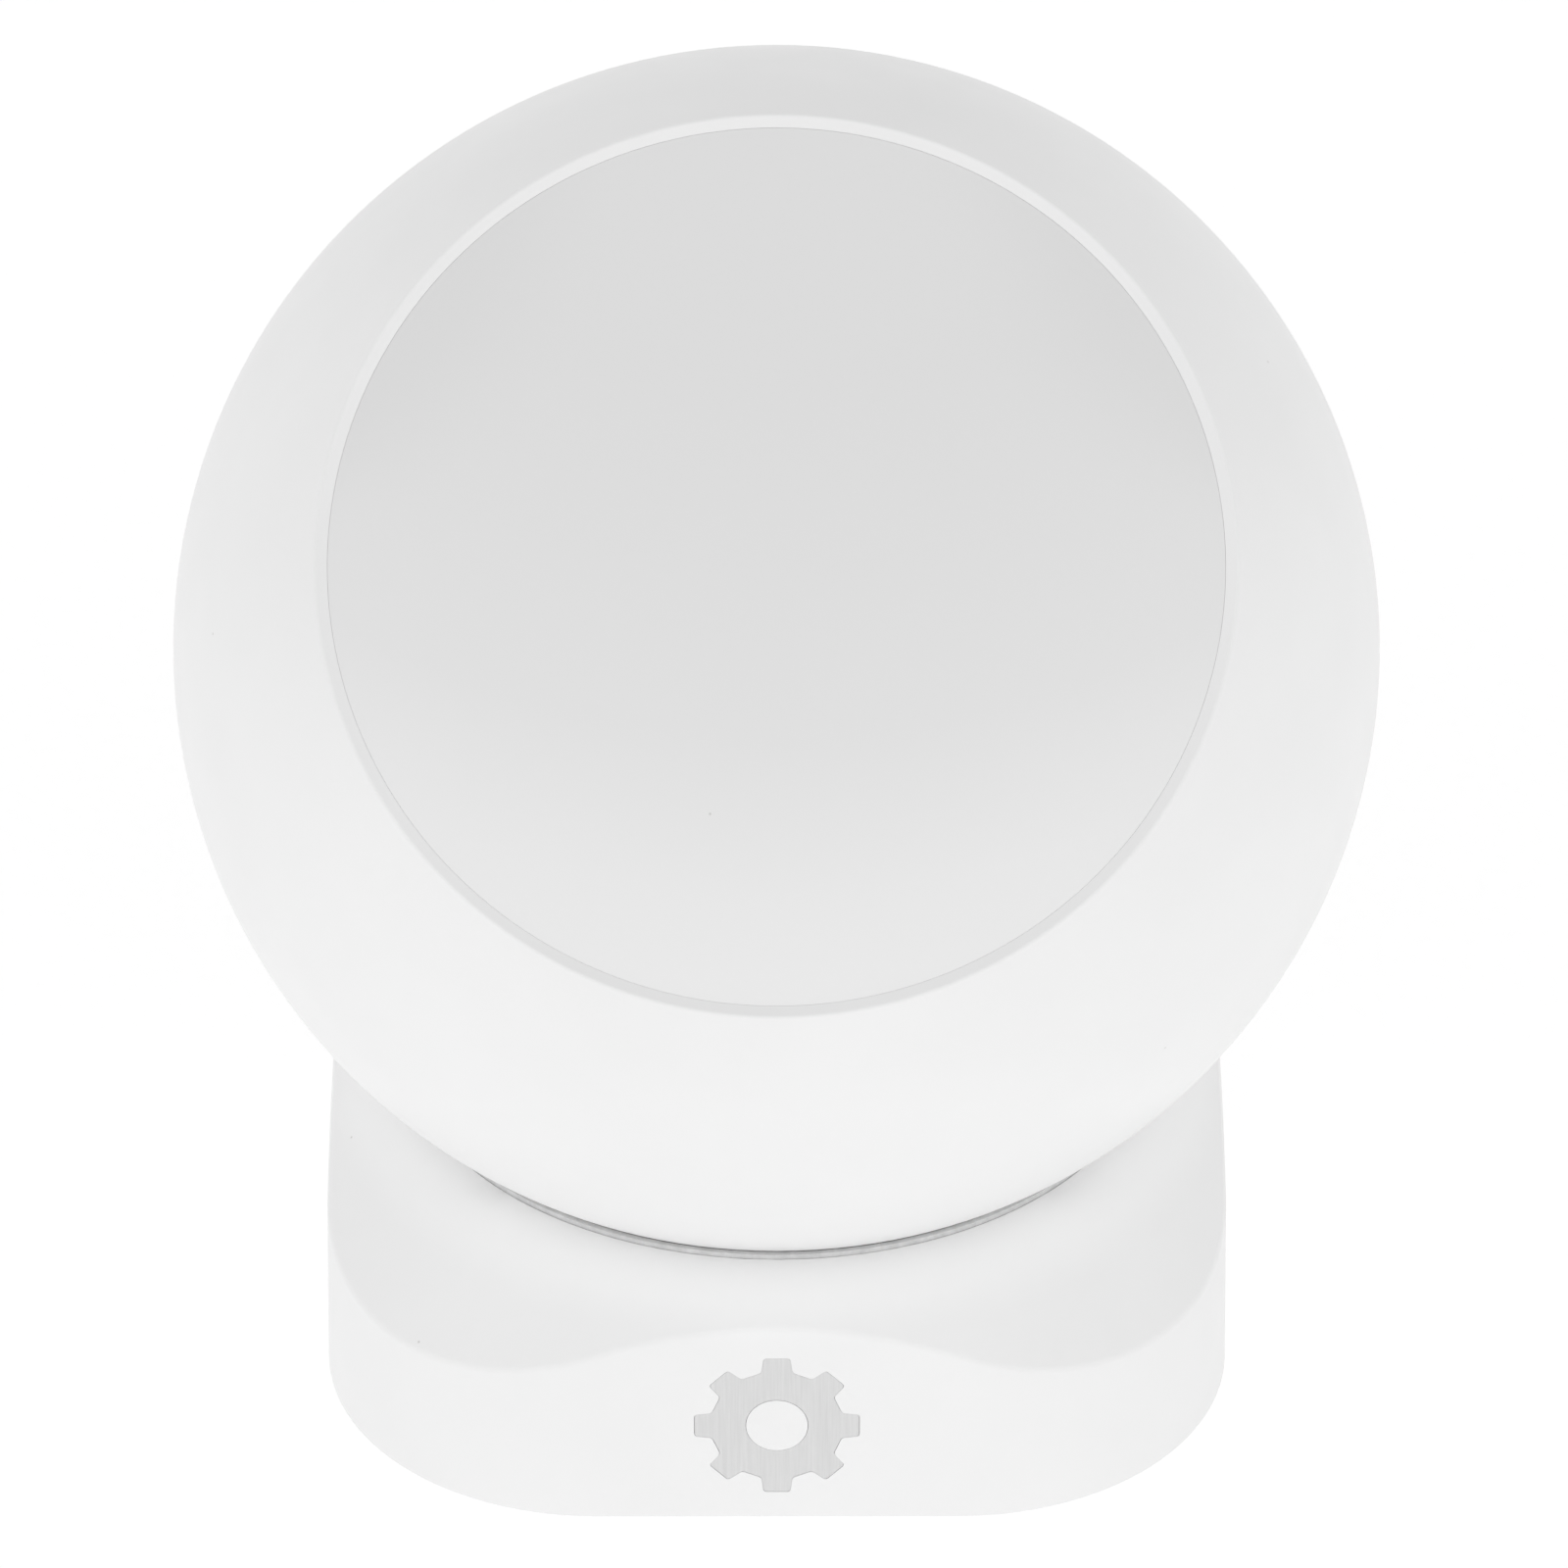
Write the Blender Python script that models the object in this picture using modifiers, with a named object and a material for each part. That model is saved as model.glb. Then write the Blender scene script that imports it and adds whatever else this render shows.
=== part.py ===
"""Desk coding robot: a ball head with a round flat face, which pans and nods in a square base."""

import math

import bmesh
import bpy
from mathutils import Matrix, Vector

# Head ball, metres. Its centre is on both joint axes.
BALL_R = 0.0500
BALL_Z = 0.0616
BALL_WALL = 0.0022
FACE_TILT = math.radians(45.0)  # the face looks this far up from the front
FACE_EDGE_R = 0.0369
FACE_STEP = 0.0004  # the face lies this far below its edge
SEAM_Z = -0.0114  # seam plane of the two half shells, behind the ball centre along the face's normal
NOD_LIMIT = math.radians(15.0)

# Base: a rounded square whose top is a 45 degree cone that rounds over to a level rim.
BASE_HALF = 0.0381
BASE_CORNER = 0.0230
BASE_LIFT = 0.0001
BASE_WALL = 0.0020
BASE_DRAFT = math.radians(0.8)
CONE_SUM = 0.05725  # height plus radius, anywhere on the cone
CREASE_R = 0.0010
TOP_ROUND = 0.0105
ROUND_START = 0.0381  # the cone ends and the rounding starts at this radius
RIM_R = 0.0318
GROOVE_R = 0.0332
GROOVE_TOP = 0.0206

# Running gap and the usual gap between touching pieces.
GAP = 0.0003
LIP_GAP = 0.00025

# Pan drive.
MODULE = 0.0008
PAN_TEETH = 56
PINION_TEETH = 16
PRESSURE = math.radians(20.0)
BACKLASH = 0.00012
GEAR_Z = (0.0042, 0.0069)
MOTOR_R = 0.0075

# Yoke and servo.
COLUMN_R = 0.0050
ARM_IN = 0.0170
ARM_OUT = 0.0200
ARM_HALF = 0.0055
PLATE_Z = (0.0222, 0.0244)  # head frame plate, from the ball centre along the face's normal

# Facets round a full turn.
FINE = 48
MEDIUM = 28
COARSE = 8

WHITE = (0.86, 0.86, 0.86)
GREY = (0.45, 0.45, 0.45)
DARK = (0.03, 0.03, 0.035)
STEEL = (0.55, 0.56, 0.58)
BRASS = (0.72, 0.53, 0.24)
BOARD = (0.02, 0.17, 0.09)


def clear_scene():
    for obj in list(bpy.data.objects):
        bpy.data.objects.remove(obj, do_unlink=True)


def new_collection(name, hidden=False):
    collection = bpy.data.collections.new(name)
    collection.hide_render = hidden
    bpy.context.scene.collection.children.link(collection)
    return collection


clear_scene()
ROBOT = new_collection("desk_coding_robot")
CUTTERS = new_collection("cutters", hidden=True)


def empty(name, location, rotation=(0.0, 0.0, 0.0), parent=None):
    obj = bpy.data.objects.new(name, None)
    obj.location = location
    obj.rotation_euler = rotation
    obj.parent = parent
    obj.empty_display_size = 0.01
    ROBOT.objects.link(obj)
    return obj


PAN_AXIS = empty("pan_axis", (0.0, 0.0, 0.0))
HEAD_AXIS = empty("head_axis", (0.0, 0.0, BALL_Z), (FACE_TILT, 0.0, 0.0), PAN_AXIS)


def material(name, colour, roughness, metallic=0.0):
    made = bpy.data.materials.new(name)
    made.use_nodes = True
    shader = made.node_tree.nodes["Principled BSDF"]
    shader.inputs["Base Color"].default_value = (*colour, 1.0)
    shader.inputs["Roughness"].default_value = roughness
    shader.inputs["Metallic"].default_value = metallic
    return made


def object_from(name, bm, parent=None, cutter=False):
    bmesh.ops.recalc_face_normals(bm, faces=bm.faces)
    mesh = bpy.data.meshes.new(name)
    bm.to_mesh(mesh)
    bm.free()
    obj = bpy.data.objects.new(name, mesh)
    obj.parent = parent
    if cutter:
        CUTTERS.objects.link(obj)
        obj.hide_render = True
        obj.display_type = "WIRE"
    else:
        ROBOT.objects.link(obj)
    return obj


def finish(obj, colour, roughness, metallic=0.0):
    obj.data.materials.append(material(obj.name, colour, roughness, metallic))
    obj.data.shade_smooth()
    obj.data.set_sharp_from_angle(angle=math.radians(35.0))
    return obj


def boolean(obj, other, operation):
    modifier = obj.modifiers.new(other.name, "BOOLEAN")
    modifier.operation = operation
    modifier.object = other
    modifier.solver = "EXACT"
    return obj


def cut(obj, *cutters):
    for cutter in cutters:
        boolean(obj, cutter, "DIFFERENCE")
    return obj


def join(obj, *others):
    for other in others:
        boolean(obj, other, "UNION")
    return obj


def box(name, low, high, parent=None, cutter=False):
    """A box from its lowest to its highest corner."""
    size = Vector(high) - Vector(low)
    middle = (Vector(high) + Vector(low)) / 2
    bm = bmesh.new()
    bmesh.ops.create_cube(bm, size=1.0)
    bmesh.ops.transform(bm, matrix=Matrix.Diagonal((*size, 1.0)), verts=bm.verts)
    bmesh.ops.translate(bm, vec=middle, verts=bm.verts)
    return object_from(name, bm, parent, cutter)


def slab(name, low, high, corner, parent=None, cutter=False, axis="z", segments=5):
    """A box whose four edges along one axis are rounded."""
    size = Vector(high) - Vector(low)
    middle = (Vector(high) + Vector(low)) / 2
    index = "xyz".index(axis)
    bm = bmesh.new()
    bmesh.ops.create_cube(bm, size=1.0)
    bmesh.ops.transform(bm, matrix=Matrix.Diagonal((*size, 1.0)), verts=bm.verts)
    upright = [e for e in bm.edges if abs((e.verts[0].co - e.verts[1].co)[index]) > 0.9 * size[index]]
    bmesh.ops.bevel(bm, geom=upright, offset=corner, segments=segments, profile=0.5, affect="EDGES")
    bmesh.ops.translate(bm, vec=middle, verts=bm.verts)
    return object_from(name, bm, parent, cutter)


TURN_TO = {
    "z": Matrix.Identity(4),
    "x": Matrix.Rotation(math.radians(90.0), 4, "Y"),
    "y": Matrix.Rotation(math.radians(-90.0), 4, "X"),
}


def rod(name, radius, start, length, axis="z", parent=None, cutter=False, sides=MEDIUM):
    """A cylinder from start, running length along one axis."""
    bm = bmesh.new()
    bmesh.ops.create_cone(
        bm, cap_ends=True, segments=sides, radius1=radius, radius2=radius, depth=length
    )
    bmesh.ops.translate(bm, vec=(0.0, 0.0, length / 2), verts=bm.verts)
    bmesh.ops.transform(bm, matrix=TURN_TO[axis], verts=bm.verts)
    bmesh.ops.translate(bm, vec=start, verts=bm.verts)
    return object_from(name, bm, parent, cutter)


def turned(name, profile, parent=None, sides=FINE, closed=False, cutter=False):
    """A profile of (radius, height) points, outer side from top to bottom, turned about Z."""
    mesh = bpy.data.meshes.new(name)
    edges = [(i, i + 1) for i in range(len(profile) - 1)]
    if closed:
        edges.append((len(profile) - 1, 0))
    mesh.from_pydata([(r, 0.0, z) for r, z in profile], edges, [])
    obj = bpy.data.objects.new(name, mesh)
    obj.parent = parent
    (CUTTERS if cutter else ROBOT).objects.link(obj)
    if cutter:
        obj.hide_render = True
        obj.display_type = "WIRE"
    screw = obj.modifiers.new("turn", "SCREW")
    screw.axis = "Z"
    screw.angle = math.tau
    screw.steps = sides
    screw.render_steps = sides
    screw.use_merge_vertices = True
    screw.merge_threshold = 0.00001
    screw.use_smooth_shade = True
    return obj


def screw_body(name, head_r, head_h, shank_r, shank_l, place, turn=(0.0, 0.0, 0.0), parent=None):
    """A screw whose head rests at place and whose shank runs down its own -Z."""
    profile = [(0.0, head_h), (head_r, head_h), (head_r, 0.0), (shank_r, 0.0)]
    profile += [(shank_r, -shank_l), (0.0, -shank_l)]
    obj = turned(name, profile, parent, COARSE)
    obj.location = place
    obj.rotation_euler = turn
    return finish(obj, STEEL, 0.35, 1.0)


def ring_profile(inner, outer, low, high):
    return [(outer, high), (outer, low), (inner, low), (inner, high)]


# ---------------------------------------------------------------- base


def rounded_square(half, corner, flat_steps=6, corner_steps=9):
    """Points round a rounded square, counter-clockwise, the same number for any size."""
    points = []
    straight = half - corner
    for quarter in range(4):
        turn = Matrix.Rotation(quarter * math.pi / 2, 2)
        for step in range(flat_steps):
            points.append(turn @ Vector((half, straight * (2 * step / flat_steps - 1))))
        for step in range(corner_steps):
            angle = step / corner_steps * math.pi / 2
            spot = Vector((straight + corner * math.cos(angle), straight + corner * math.sin(angle)))
            points.append(turn @ spot)
    return points


def loft(name, rings):
    """A closed skin through rings of equal length, the last one joined back to the first."""
    bm = bmesh.new()
    rows = [[bm.verts.new(point) for point in ring] for ring in rings]
    count = len(rows[0])
    for row, following in zip(rows, rows[1:] + rows[:1]):
        for i in range(count):
            j = (i + 1) % count
            bm.faces.new((row[i], row[j], following[j], following[i]))
    return object_from(name, bm)


def top_height(radius, wall=0.0):
    """Height of the base's top at a radius, or of its inner face when a wall is given."""
    start = ROUND_START - wall * math.sqrt(0.5)
    if radius >= start:
        return CONE_SUM - wall * math.sqrt(2.0) - radius
    centre_r = ROUND_START - TOP_ROUND * math.sqrt(0.5)
    centre_z = CONE_SUM - ROUND_START - TOP_ROUND * math.sqrt(0.5)
    reach = TOP_ROUND - wall
    return centre_z + math.sqrt(reach**2 - (radius - centre_r) ** 2)


def base_rings():
    """The base shell's skin, up its outside, over the rim and down its inside."""
    outline = rounded_square(BASE_HALF, BASE_CORNER)
    chamfer = 0.0002

    def square(inset, height):
        spots = rounded_square(BASE_HALF - inset, BASE_CORNER - inset)
        return [(p.x, p.y, height(p.length) if callable(height) else height) for p in spots]

    def circle(radius, height):
        return [(*(p.normalized() * radius), height) for p in outline]

    def between(inset, radius, share, wall=0.0):
        """A ring part of the way from the rounded square to a circle, on the top's surface."""
        spots = rounded_square(BASE_HALF - inset, BASE_CORNER - inset)
        ring = [p.lerp(p.normalized() * radius, share) for p in spots]
        return [(p.x, p.y, top_height(p.length, wall)) for p in ring]

    top_inset = math.tan(BASE_DRAFT) * 0.018
    turn = CREASE_R * math.tan(math.radians(22.5))
    slant = turn * math.sqrt(0.5)
    bulge = CREASE_R * (1 / math.cos(math.radians(22.5)) - 1)
    rim_ease = 0.0002
    return [
        square(chamfer, BASE_LIFT),
        square(0.0, BASE_LIFT + chamfer),
        square(top_inset, lambda r: top_height(r) - turn),
        square(top_inset + 0.92 * bulge, lambda r: top_height(r) - 1.3 * bulge),
        square(top_inset + slant, top_height),
        between(top_inset + slant, RIM_R, 0.33),
        between(top_inset + slant, RIM_R, 0.66),
        circle(RIM_R + rim_ease, top_height(RIM_R)),
        circle(RIM_R, top_height(RIM_R) - rim_ease),
        circle(RIM_R, GROOVE_TOP),
        circle(GROOVE_R, GROOVE_TOP),
        circle(GROOVE_R, top_height(GROOVE_R, BASE_WALL)),
        between(BASE_WALL, GROOVE_R, 0.5, BASE_WALL),
        square(BASE_WALL, lambda r: top_height(r, BASE_WALL)),
        square(BASE_WALL, BASE_LIFT),
    ]


SCREW_XY = 0.0275
CORNERS = {
    "front_left": (-1.0, -1.0),
    "front_right": (1.0, -1.0),
    "rear_left": (-1.0, 1.0),
    "rear_right": (1.0, 1.0),
}
USB_X = -0.0055
BUTTON_X = 0.0085
PORT_Z = 0.0086
BUTTON_R = 0.0032
EMBLEM_Z = 0.0096


def base_shell():
    shell = loft("base_shell", base_rings())
    for corner, (side, depth) in CORNERS.items():
        spot = (side * SCREW_XY, depth * SCREW_XY, 0.0029)
        join(shell, rod("boss_" + corner, 0.0025, spot, 0.0117, cutter=True, sides=12))
        hole = (spot[0], spot[1], 0.0019)
        cut(shell, rod("boss_hole_" + corner, 0.0012, hole, 0.0110, cutter=True, sides=COARSE))
    low = (USB_X - 0.0049, 0.0340, PORT_Z - 0.0020)
    high = (USB_X + 0.0049, 0.0400, PORT_Z + 0.0020)
    cut(shell, slab("usb_opening", low, high, 0.0019, cutter=True, axis="y"))
    start = (BUTTON_X, 0.0340, PORT_Z)
    cut(shell, rod("button_opening", BUTTON_R + GAP, start, 0.006, "y", cutter=True, sides=24))
    pocket = rod("emblem_pocket", 0.0072, (0.0, 0.0, 0.0), 0.003, cutter=True, sides=48)
    pocket.location = (0.0, -BASE_HALF + 0.00085, EMBLEM_Z)
    pocket.rotation_euler = (math.radians(90.0) - BASE_DRAFT, 0.0, 0.0)
    cut(shell, pocket)
    return finish(shell, WHITE, 0.45)


def emblem():
    """A plain cog, set flush in its round pocket in the front wall."""
    cog = rod("emblem", 0.0069, (0.0, 0.0, 0.0), 0.00055, sides=48)
    cog.location = (0.0, -BASE_HALF + 0.00115 - 0.0006, EMBLEM_Z)
    cog.rotation_euler = (math.radians(90.0) - BASE_DRAFT, 0.0, 0.0)
    teeth = 8
    for tooth in range(teeth):
        angle = (tooth + 0.5) / teeth * math.tau
        spot = (0.0071 * math.cos(angle), 0.0071 * math.sin(angle), -0.001)
        notch = rod(f"cog_notch_{tooth}", 0.00145, spot, 0.003, cutter=True, sides=COARSE)
        notch.parent = cog
        cut(cog, notch)
    hub = rod("cog_hole", 0.0024, (0.0, 0.0, -0.001), 0.003, cutter=True, sides=24)
    hub.parent = cog
    cut(cog, hub)
    return finish(cog, (0.62, 0.62, 0.62), 0.5)


def socket_seal():
    """The soft lip that closes the gap between the socket's rim and the ball."""

    def ball_gap(z):
        return math.sqrt(BALL_R**2 - (BALL_Z - z) ** 2) + LIP_GAP

    outer = RIM_R - 0.0001
    flange = GROOVE_R - GAP
    top, flange_top, bottom = 0.02255, GROOVE_TOP - 0.0002, 0.0195
    profile = [(outer, top), (outer, flange_top), (flange, flange_top), (flange, bottom)]
    profile += [(0.0303, bottom), (ball_gap(0.0215), 0.0215), (ball_gap(top), top)]
    return finish(turned("socket_seal", profile, sides=FINE, closed=True), GREY, 0.8)


def hub_tube():
    """The bearing post of the bottom plate, with the groove of its retaining ring."""
    profile = [(0.0079, 0.0089), (0.0079, 0.0083), (0.0073, 0.0083), (0.0073, 0.0070)]
    profile += [(0.0079, 0.0070), (0.0079, 0.0020), (0.0050, 0.0020), (0.0050, 0.0089)]
    return turned("hub_tube", profile, sides=MEDIUM, closed=True, cutter=True)


PAN_R = MODULE * PAN_TEETH / 2
PINION_R = MODULE * PINION_TEETH / 2
MOTOR_XY = -(PAN_R + PINION_R) * math.sqrt(0.5)  # front left corner
EAR_SPOTS = [(MOTOR_XY + s * 0.0072, MOTOR_XY - s * 0.0072) for s in (-1, 1)]
BOARD_SPOTS = [(-0.0127, 0.0285), (0.0140, 0.0285)]
FOOT_XY = 0.0205
FOOT_R = 0.0046


def bottom_plate():
    half = BASE_HALF - BASE_WALL - GAP
    corner = BASE_CORNER - BASE_WALL - GAP
    low = (-half, -half, 0.0006)
    high = (half, half, 0.0026)
    plate = slab("bottom_plate", low, high, corner, segments=8)
    join(plate, hub_tube())
    for i, (x, y) in enumerate(EAR_SPOTS):
        join(plate, rod(f"motor_post_{i}", 0.0021, (x, y, 0.002), 0.0053, cutter=True, sides=12))
        hole = (x, y, 0.0032)
        cut(plate, rod(f"motor_post_hole_{i}", 0.0011, hole, 0.006, cutter=True, sides=COARSE))
    for i, (x, y) in enumerate(BOARD_SPOTS):
        join(plate, rod(f"board_post_{i}", 0.0019, (x, y, 0.002), 0.0024, cutter=True, sides=12))
        hole = (x, y, 0.0016)
        cut(plate, rod(f"board_post_hole_{i}", 0.0010, hole, 0.004, cutter=True, sides=COARSE))
    for corner_name, (side, depth) in CORNERS.items():
        spot = (side * SCREW_XY, depth * SCREW_XY, 0.0)
        cut(plate, rod("plate_hole_" + corner_name, 0.0013, spot, 0.004, cutter=True, sides=COARSE))
        cut(plate, rod("plate_sink_" + corner_name, 0.0024, spot, 0.0018, cutter=True, sides=12))
        seat = (side * FOOT_XY, depth * FOOT_XY, -0.001)
        cut(plate, rod("foot_seat_" + corner_name, FOOT_R + GAP, seat, 0.0024, cutter=True, sides=16))
    return finish(plate, (0.75, 0.75, 0.75), 0.55)


def feet():
    for corner_name, (side, depth) in CORNERS.items():
        spot = (side * FOOT_XY, depth * FOOT_XY, 0.0)
        foot = rod("foot_" + corner_name, FOOT_R, spot, 0.0011, sides=16)
        finish(foot, (0.30, 0.30, 0.30), 0.9)


def base_screws():
    for corner_name, (side, depth) in CORNERS.items():
        place = (side * SCREW_XY, depth * SCREW_XY, 0.0015)
        screw_body("base_screw_" + corner_name, 0.0021, 0.0008, 0.0009, 0.0085, place, (math.pi, 0.0, 0.0))


def thrust_washer():
    ring = turned("thrust_washer", ring_profile(0.0083, 0.0150, 0.0029, 0.0039), sides=MEDIUM, closed=True)
    return finish(ring, (0.80, 0.80, 0.78), 0.3)


def retaining_ring():
    ring = turned("retaining_ring", ring_profile(0.0076, 0.0100, 0.0073, 0.0080), sides=MEDIUM, closed=True)
    cut(ring, box("ring_mouth", (0.004, -0.0018, 0.006), (0.012, 0.0018, 0.009), cutter=True))
    return finish(ring, STEEL, 0.3, 1.0)


def pan_motor():
    """A flat can motor, shaft down, on two ears."""
    spot = (MOTOR_XY, MOTOR_XY, 0.0085)
    can = rod("pan_motor", MOTOR_R, spot, 0.0064)
    reach = MOTOR_R + 0.0051
    low = (-reach, -0.0030, 0.0)
    high = (reach, 0.0030, 0.0010)
    ears = slab("motor_ears", low, high, 0.0029, cutter=True)
    ears.location = (MOTOR_XY, MOTOR_XY, 0.0077)
    ears.rotation_euler = (0.0, 0.0, math.radians(-45.0))
    join(can, ears)
    for i, (x, y) in enumerate(EAR_SPOTS):
        cut(can, rod(f"ear_hole_{i}", 0.0011, (x, y, 0.007), 0.003, cutter=True, sides=COARSE))
    cut(can, rod("shaft_hole", 0.0011, (MOTOR_XY, MOTOR_XY, 0.007), 0.004, cutter=True, sides=16))
    return finish(can, STEEL, 0.35, 1.0)


def power_board():
    low = (-0.0150, 0.0255, 0.0047)
    high = (0.0163, 0.0336, 0.0057)
    board = slab("power_board", low, high, 0.001, segments=3)
    for i, (x, y) in enumerate(BOARD_SPOTS):
        cut(board, rod(f"board_hole_{i}", 0.0010, (x, y, 0.004), 0.003, cutter=True, sides=COARSE))
        screw_body(f"power_board_screw_{i + 1}", 0.0016, 0.0009, 0.0007, 0.0035, (x, y, 0.0060))
    return finish(board, BOARD, 0.4)


def usb_c_socket():
    low = (USB_X - 0.00447, 0.0303, PORT_Z - 0.00163)
    high = (USB_X + 0.00447, 0.0376, PORT_Z + 0.00163)
    socket = slab("usb_c_socket", low, high, 0.00155, axis="y", segments=5)
    low = (USB_X - 0.00417, 0.0318, PORT_Z - 0.00133)
    high = (USB_X + 0.00417, 0.0390, PORT_Z + 0.00133)
    cut(socket, slab("usb_mouth", low, high, 0.0012, cutter=True, axis="y", segments=5))
    low = (USB_X - 0.0033, 0.0310, PORT_Z - 0.00035)
    high = (USB_X + 0.0033, 0.0368, PORT_Z + 0.00035)
    join(socket, box("usb_tongue", low, high, cutter=True))
    low = (USB_X - 0.0036, 0.0306, 0.0060)
    high = (USB_X + 0.0036, 0.0340, PORT_Z - 0.0014)
    join(socket, box("usb_foot", low, high, cutter=True))
    return finish(socket, STEEL, 0.3, 1.0)


def power_switch():
    low = (BUTTON_X - 0.0030, 0.0293, 0.0060)
    high = (BUTTON_X + 0.0030, 0.0313, 0.0112)
    body = box("power_switch", low, high)
    start = (BUTTON_X, 0.0310, PORT_Z)
    join(body, rod("switch_plunger", 0.0012, start, 0.0012, "y", cutter=True, sides=16))
    return finish(body, DARK, 0.5)


def power_button():
    """The cap stands just proud of the rear wall, and its flange keeps it in."""
    profile = [(0.0, 0.0387), (0.0028, 0.0387), (BUTTON_R, 0.0383), (BUTTON_R, 0.0358)]
    profile += [(0.0041, 0.0358), (0.0041, 0.0348), (0.0016, 0.0348), (0.0016, 0.0333), (0.0, 0.0333)]
    cap = turned("power_button", profile, sides=24)
    cap.location = (BUTTON_X, 0.0, PORT_Z)
    cap.rotation_euler = (math.radians(-90.0), 0.0, 0.0)
    return finish(cap, (0.70, 0.70, 0.70), 0.45)


# ---------------------------------------------------------------- gears


def involute_flank(base_r, start_r, tip_r, steps):
    """(radius, angle swept) along an involute from start_r, or its base circle, to the tip."""
    points = []
    first = max(start_r, base_r)
    for i in range(steps):
        radius = first + (tip_r - first) * i / (steps - 1)
        roll = math.sqrt(max((radius / base_r) ** 2 - 1, 0.0))
        points.append((radius, roll - math.atan(roll)))
    return points


def gear_outline(teeth, phase, steps):
    """Involute teeth as one outline. A tooth is centred on the angle phase."""
    pitch_r = MODULE * teeth / 2
    base_r = pitch_r * math.cos(PRESSURE)
    tip_r = pitch_r + 0.95 * MODULE
    root_r = pitch_r - 1.25 * MODULE
    sweep_at_pitch = math.tan(PRESSURE) - PRESSURE
    half_tooth = math.pi / (2 * teeth) - BACKLASH / 2 / pitch_r
    flank = involute_flank(base_r, root_r, tip_r, steps)
    outline = []
    for tooth in range(teeth):
        middle = phase + tooth / teeth * math.tau
        rising = [(r, -(half_tooth + sweep_at_pitch - sweep)) for r, sweep in flank]
        if root_r < base_r:
            rising.insert(0, (root_r, rising[0][1]))
        falling = [(r, -angle) for r, angle in reversed(rising)]
        for radius, angle in rising + falling:
            outline.append((radius * math.cos(middle + angle), radius * math.sin(middle + angle)))
    return outline


def gear_solid(name, teeth, phase, low, high, parent, steps):
    bm = bmesh.new()
    outline = gear_outline(teeth, phase, steps)
    face = bm.faces.new([bm.verts.new((x, y, low)) for x, y in outline])
    grown = bmesh.ops.extrude_face_region(bm, geom=[face])
    raised = [item for item in grown["geom"] if isinstance(item, bmesh.types.BMVert)]
    bmesh.ops.translate(bm, vec=(0.0, 0.0, high - low), verts=raised)
    return object_from(name, bm, parent)


def drive_pinion():
    pinion = gear_solid("drive_pinion", PINION_TEETH, math.pi / PINION_TEETH, *GEAR_Z, None, 3)
    pinion.location = (MOTOR_XY, MOTOR_XY, 0.0)
    bore = rod("pinion_bore", 0.0012, (0.0, 0.0, 0.003), 0.006, cutter=True, sides=COARSE)
    bore.parent = pinion
    cut(pinion, bore)
    finish(pinion, BRASS, 0.3, 1.0)
    shaft = rod("motor_shaft", 0.0009, (0.0, 0.0, 0.0038), 0.0064, sides=COARSE)
    shaft.location = (MOTOR_XY, MOTOR_XY, 0.0)
    finish(shaft, STEEL, 0.25, 1.0)


NECK_SCREW_R = 0.0125
THIRDS = [math.radians(90.0 + 120.0 * i) for i in range(3)]


def pan_gear():
    gear = gear_solid("pan_gear", PAN_TEETH, 0.0, *GEAR_Z, PAN_AXIS, 2)
    start = (0.0, 0.0, 0.003)
    cut(gear, rod("gear_bore", 0.0082, start, 0.006, parent=PAN_AXIS, cutter=True, sides=MEDIUM))
    for i, angle in enumerate(THIRDS):
        x = NECK_SCREW_R * math.cos(angle)
        y = NECK_SCREW_R * math.sin(angle)
        hole = rod(f"gear_hole_{i}", 0.0011, (x, y, 0.003), 0.006, "z", PAN_AXIS, True, COARSE)
        sink = rod(f"gear_sink_{i}", 0.0020, (x, y, 0.003), 0.0025, "z", PAN_AXIS, True, 16)
        cut(gear, hole, sink)
        place = (x, y, 0.0052)
        screw_body(f"neck_screw_{i + 1}", 0.0017, 0.0008, 0.0008, 0.0040, place, (math.pi, 0, 0), PAN_AXIS)
    return finish(gear, (0.82, 0.82, 0.80), 0.4)


def neck_yoke():
    """A hollow column that ends in a fork, whose arms carry the nod axis."""
    profile = [(COLUMN_R, 0.0390), (COLUMN_R, 0.0108), (0.0060, 0.0102), (0.0140, 0.0102)]
    profile += [(0.0140, 0.0072), (0.0108, 0.0072), (0.0108, 0.0092), (0.0030, 0.0092), (0.0030, 0.0390)]
    yoke = turned("neck_yoke", profile, PAN_AXIS, 24, closed=True)
    low = (-ARM_OUT, -ARM_HALF, 0.0380)
    high = (ARM_OUT, ARM_HALF, 0.0410)
    join(yoke, box("yoke_bridge", low, high, PAN_AXIS, True))
    for side, name in ((-1, "left"), (1, "right")):
        inner, outer = sorted((side * ARM_IN, side * ARM_OUT))
        low = (inner, -ARM_HALF, 0.0385)
        arm = box("arm_" + name, low, (outer, ARM_HALF, BALL_Z), PAN_AXIS, True)
        eye = rod("eye_" + name, ARM_HALF + GAP, (inner, 0.0, BALL_Z), 0.003, "x", PAN_AXIS, True, 20)
        join(yoke, arm, eye)
    start = (0.0, 0.0, 0.0360)
    cut(yoke, rod("bridge_bore", 0.0028, start, 0.007, "z", PAN_AXIS, True, 16))
    start = (0.0150, 0.0, BALL_Z)
    cut(yoke, rod("horn_hole", 0.0016, start, 0.007, "x", PAN_AXIS, True, 16))
    start = (-0.0220, 0.0, BALL_Z)
    cut(yoke, rod("bush_hole", 0.0037, start, 0.007, "x", PAN_AXIS, True, 16))
    for i, angle in enumerate(THIRDS):
        spot = (NECK_SCREW_R * math.cos(angle), NECK_SCREW_R * math.sin(angle), 0.006)
        cut(yoke, rod(f"flange_hole_{i}", 0.0010, spot, 0.0036, "z", PAN_AXIS, True, COARSE))
    return finish(yoke, (0.25, 0.26, 0.28), 0.45)


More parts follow.
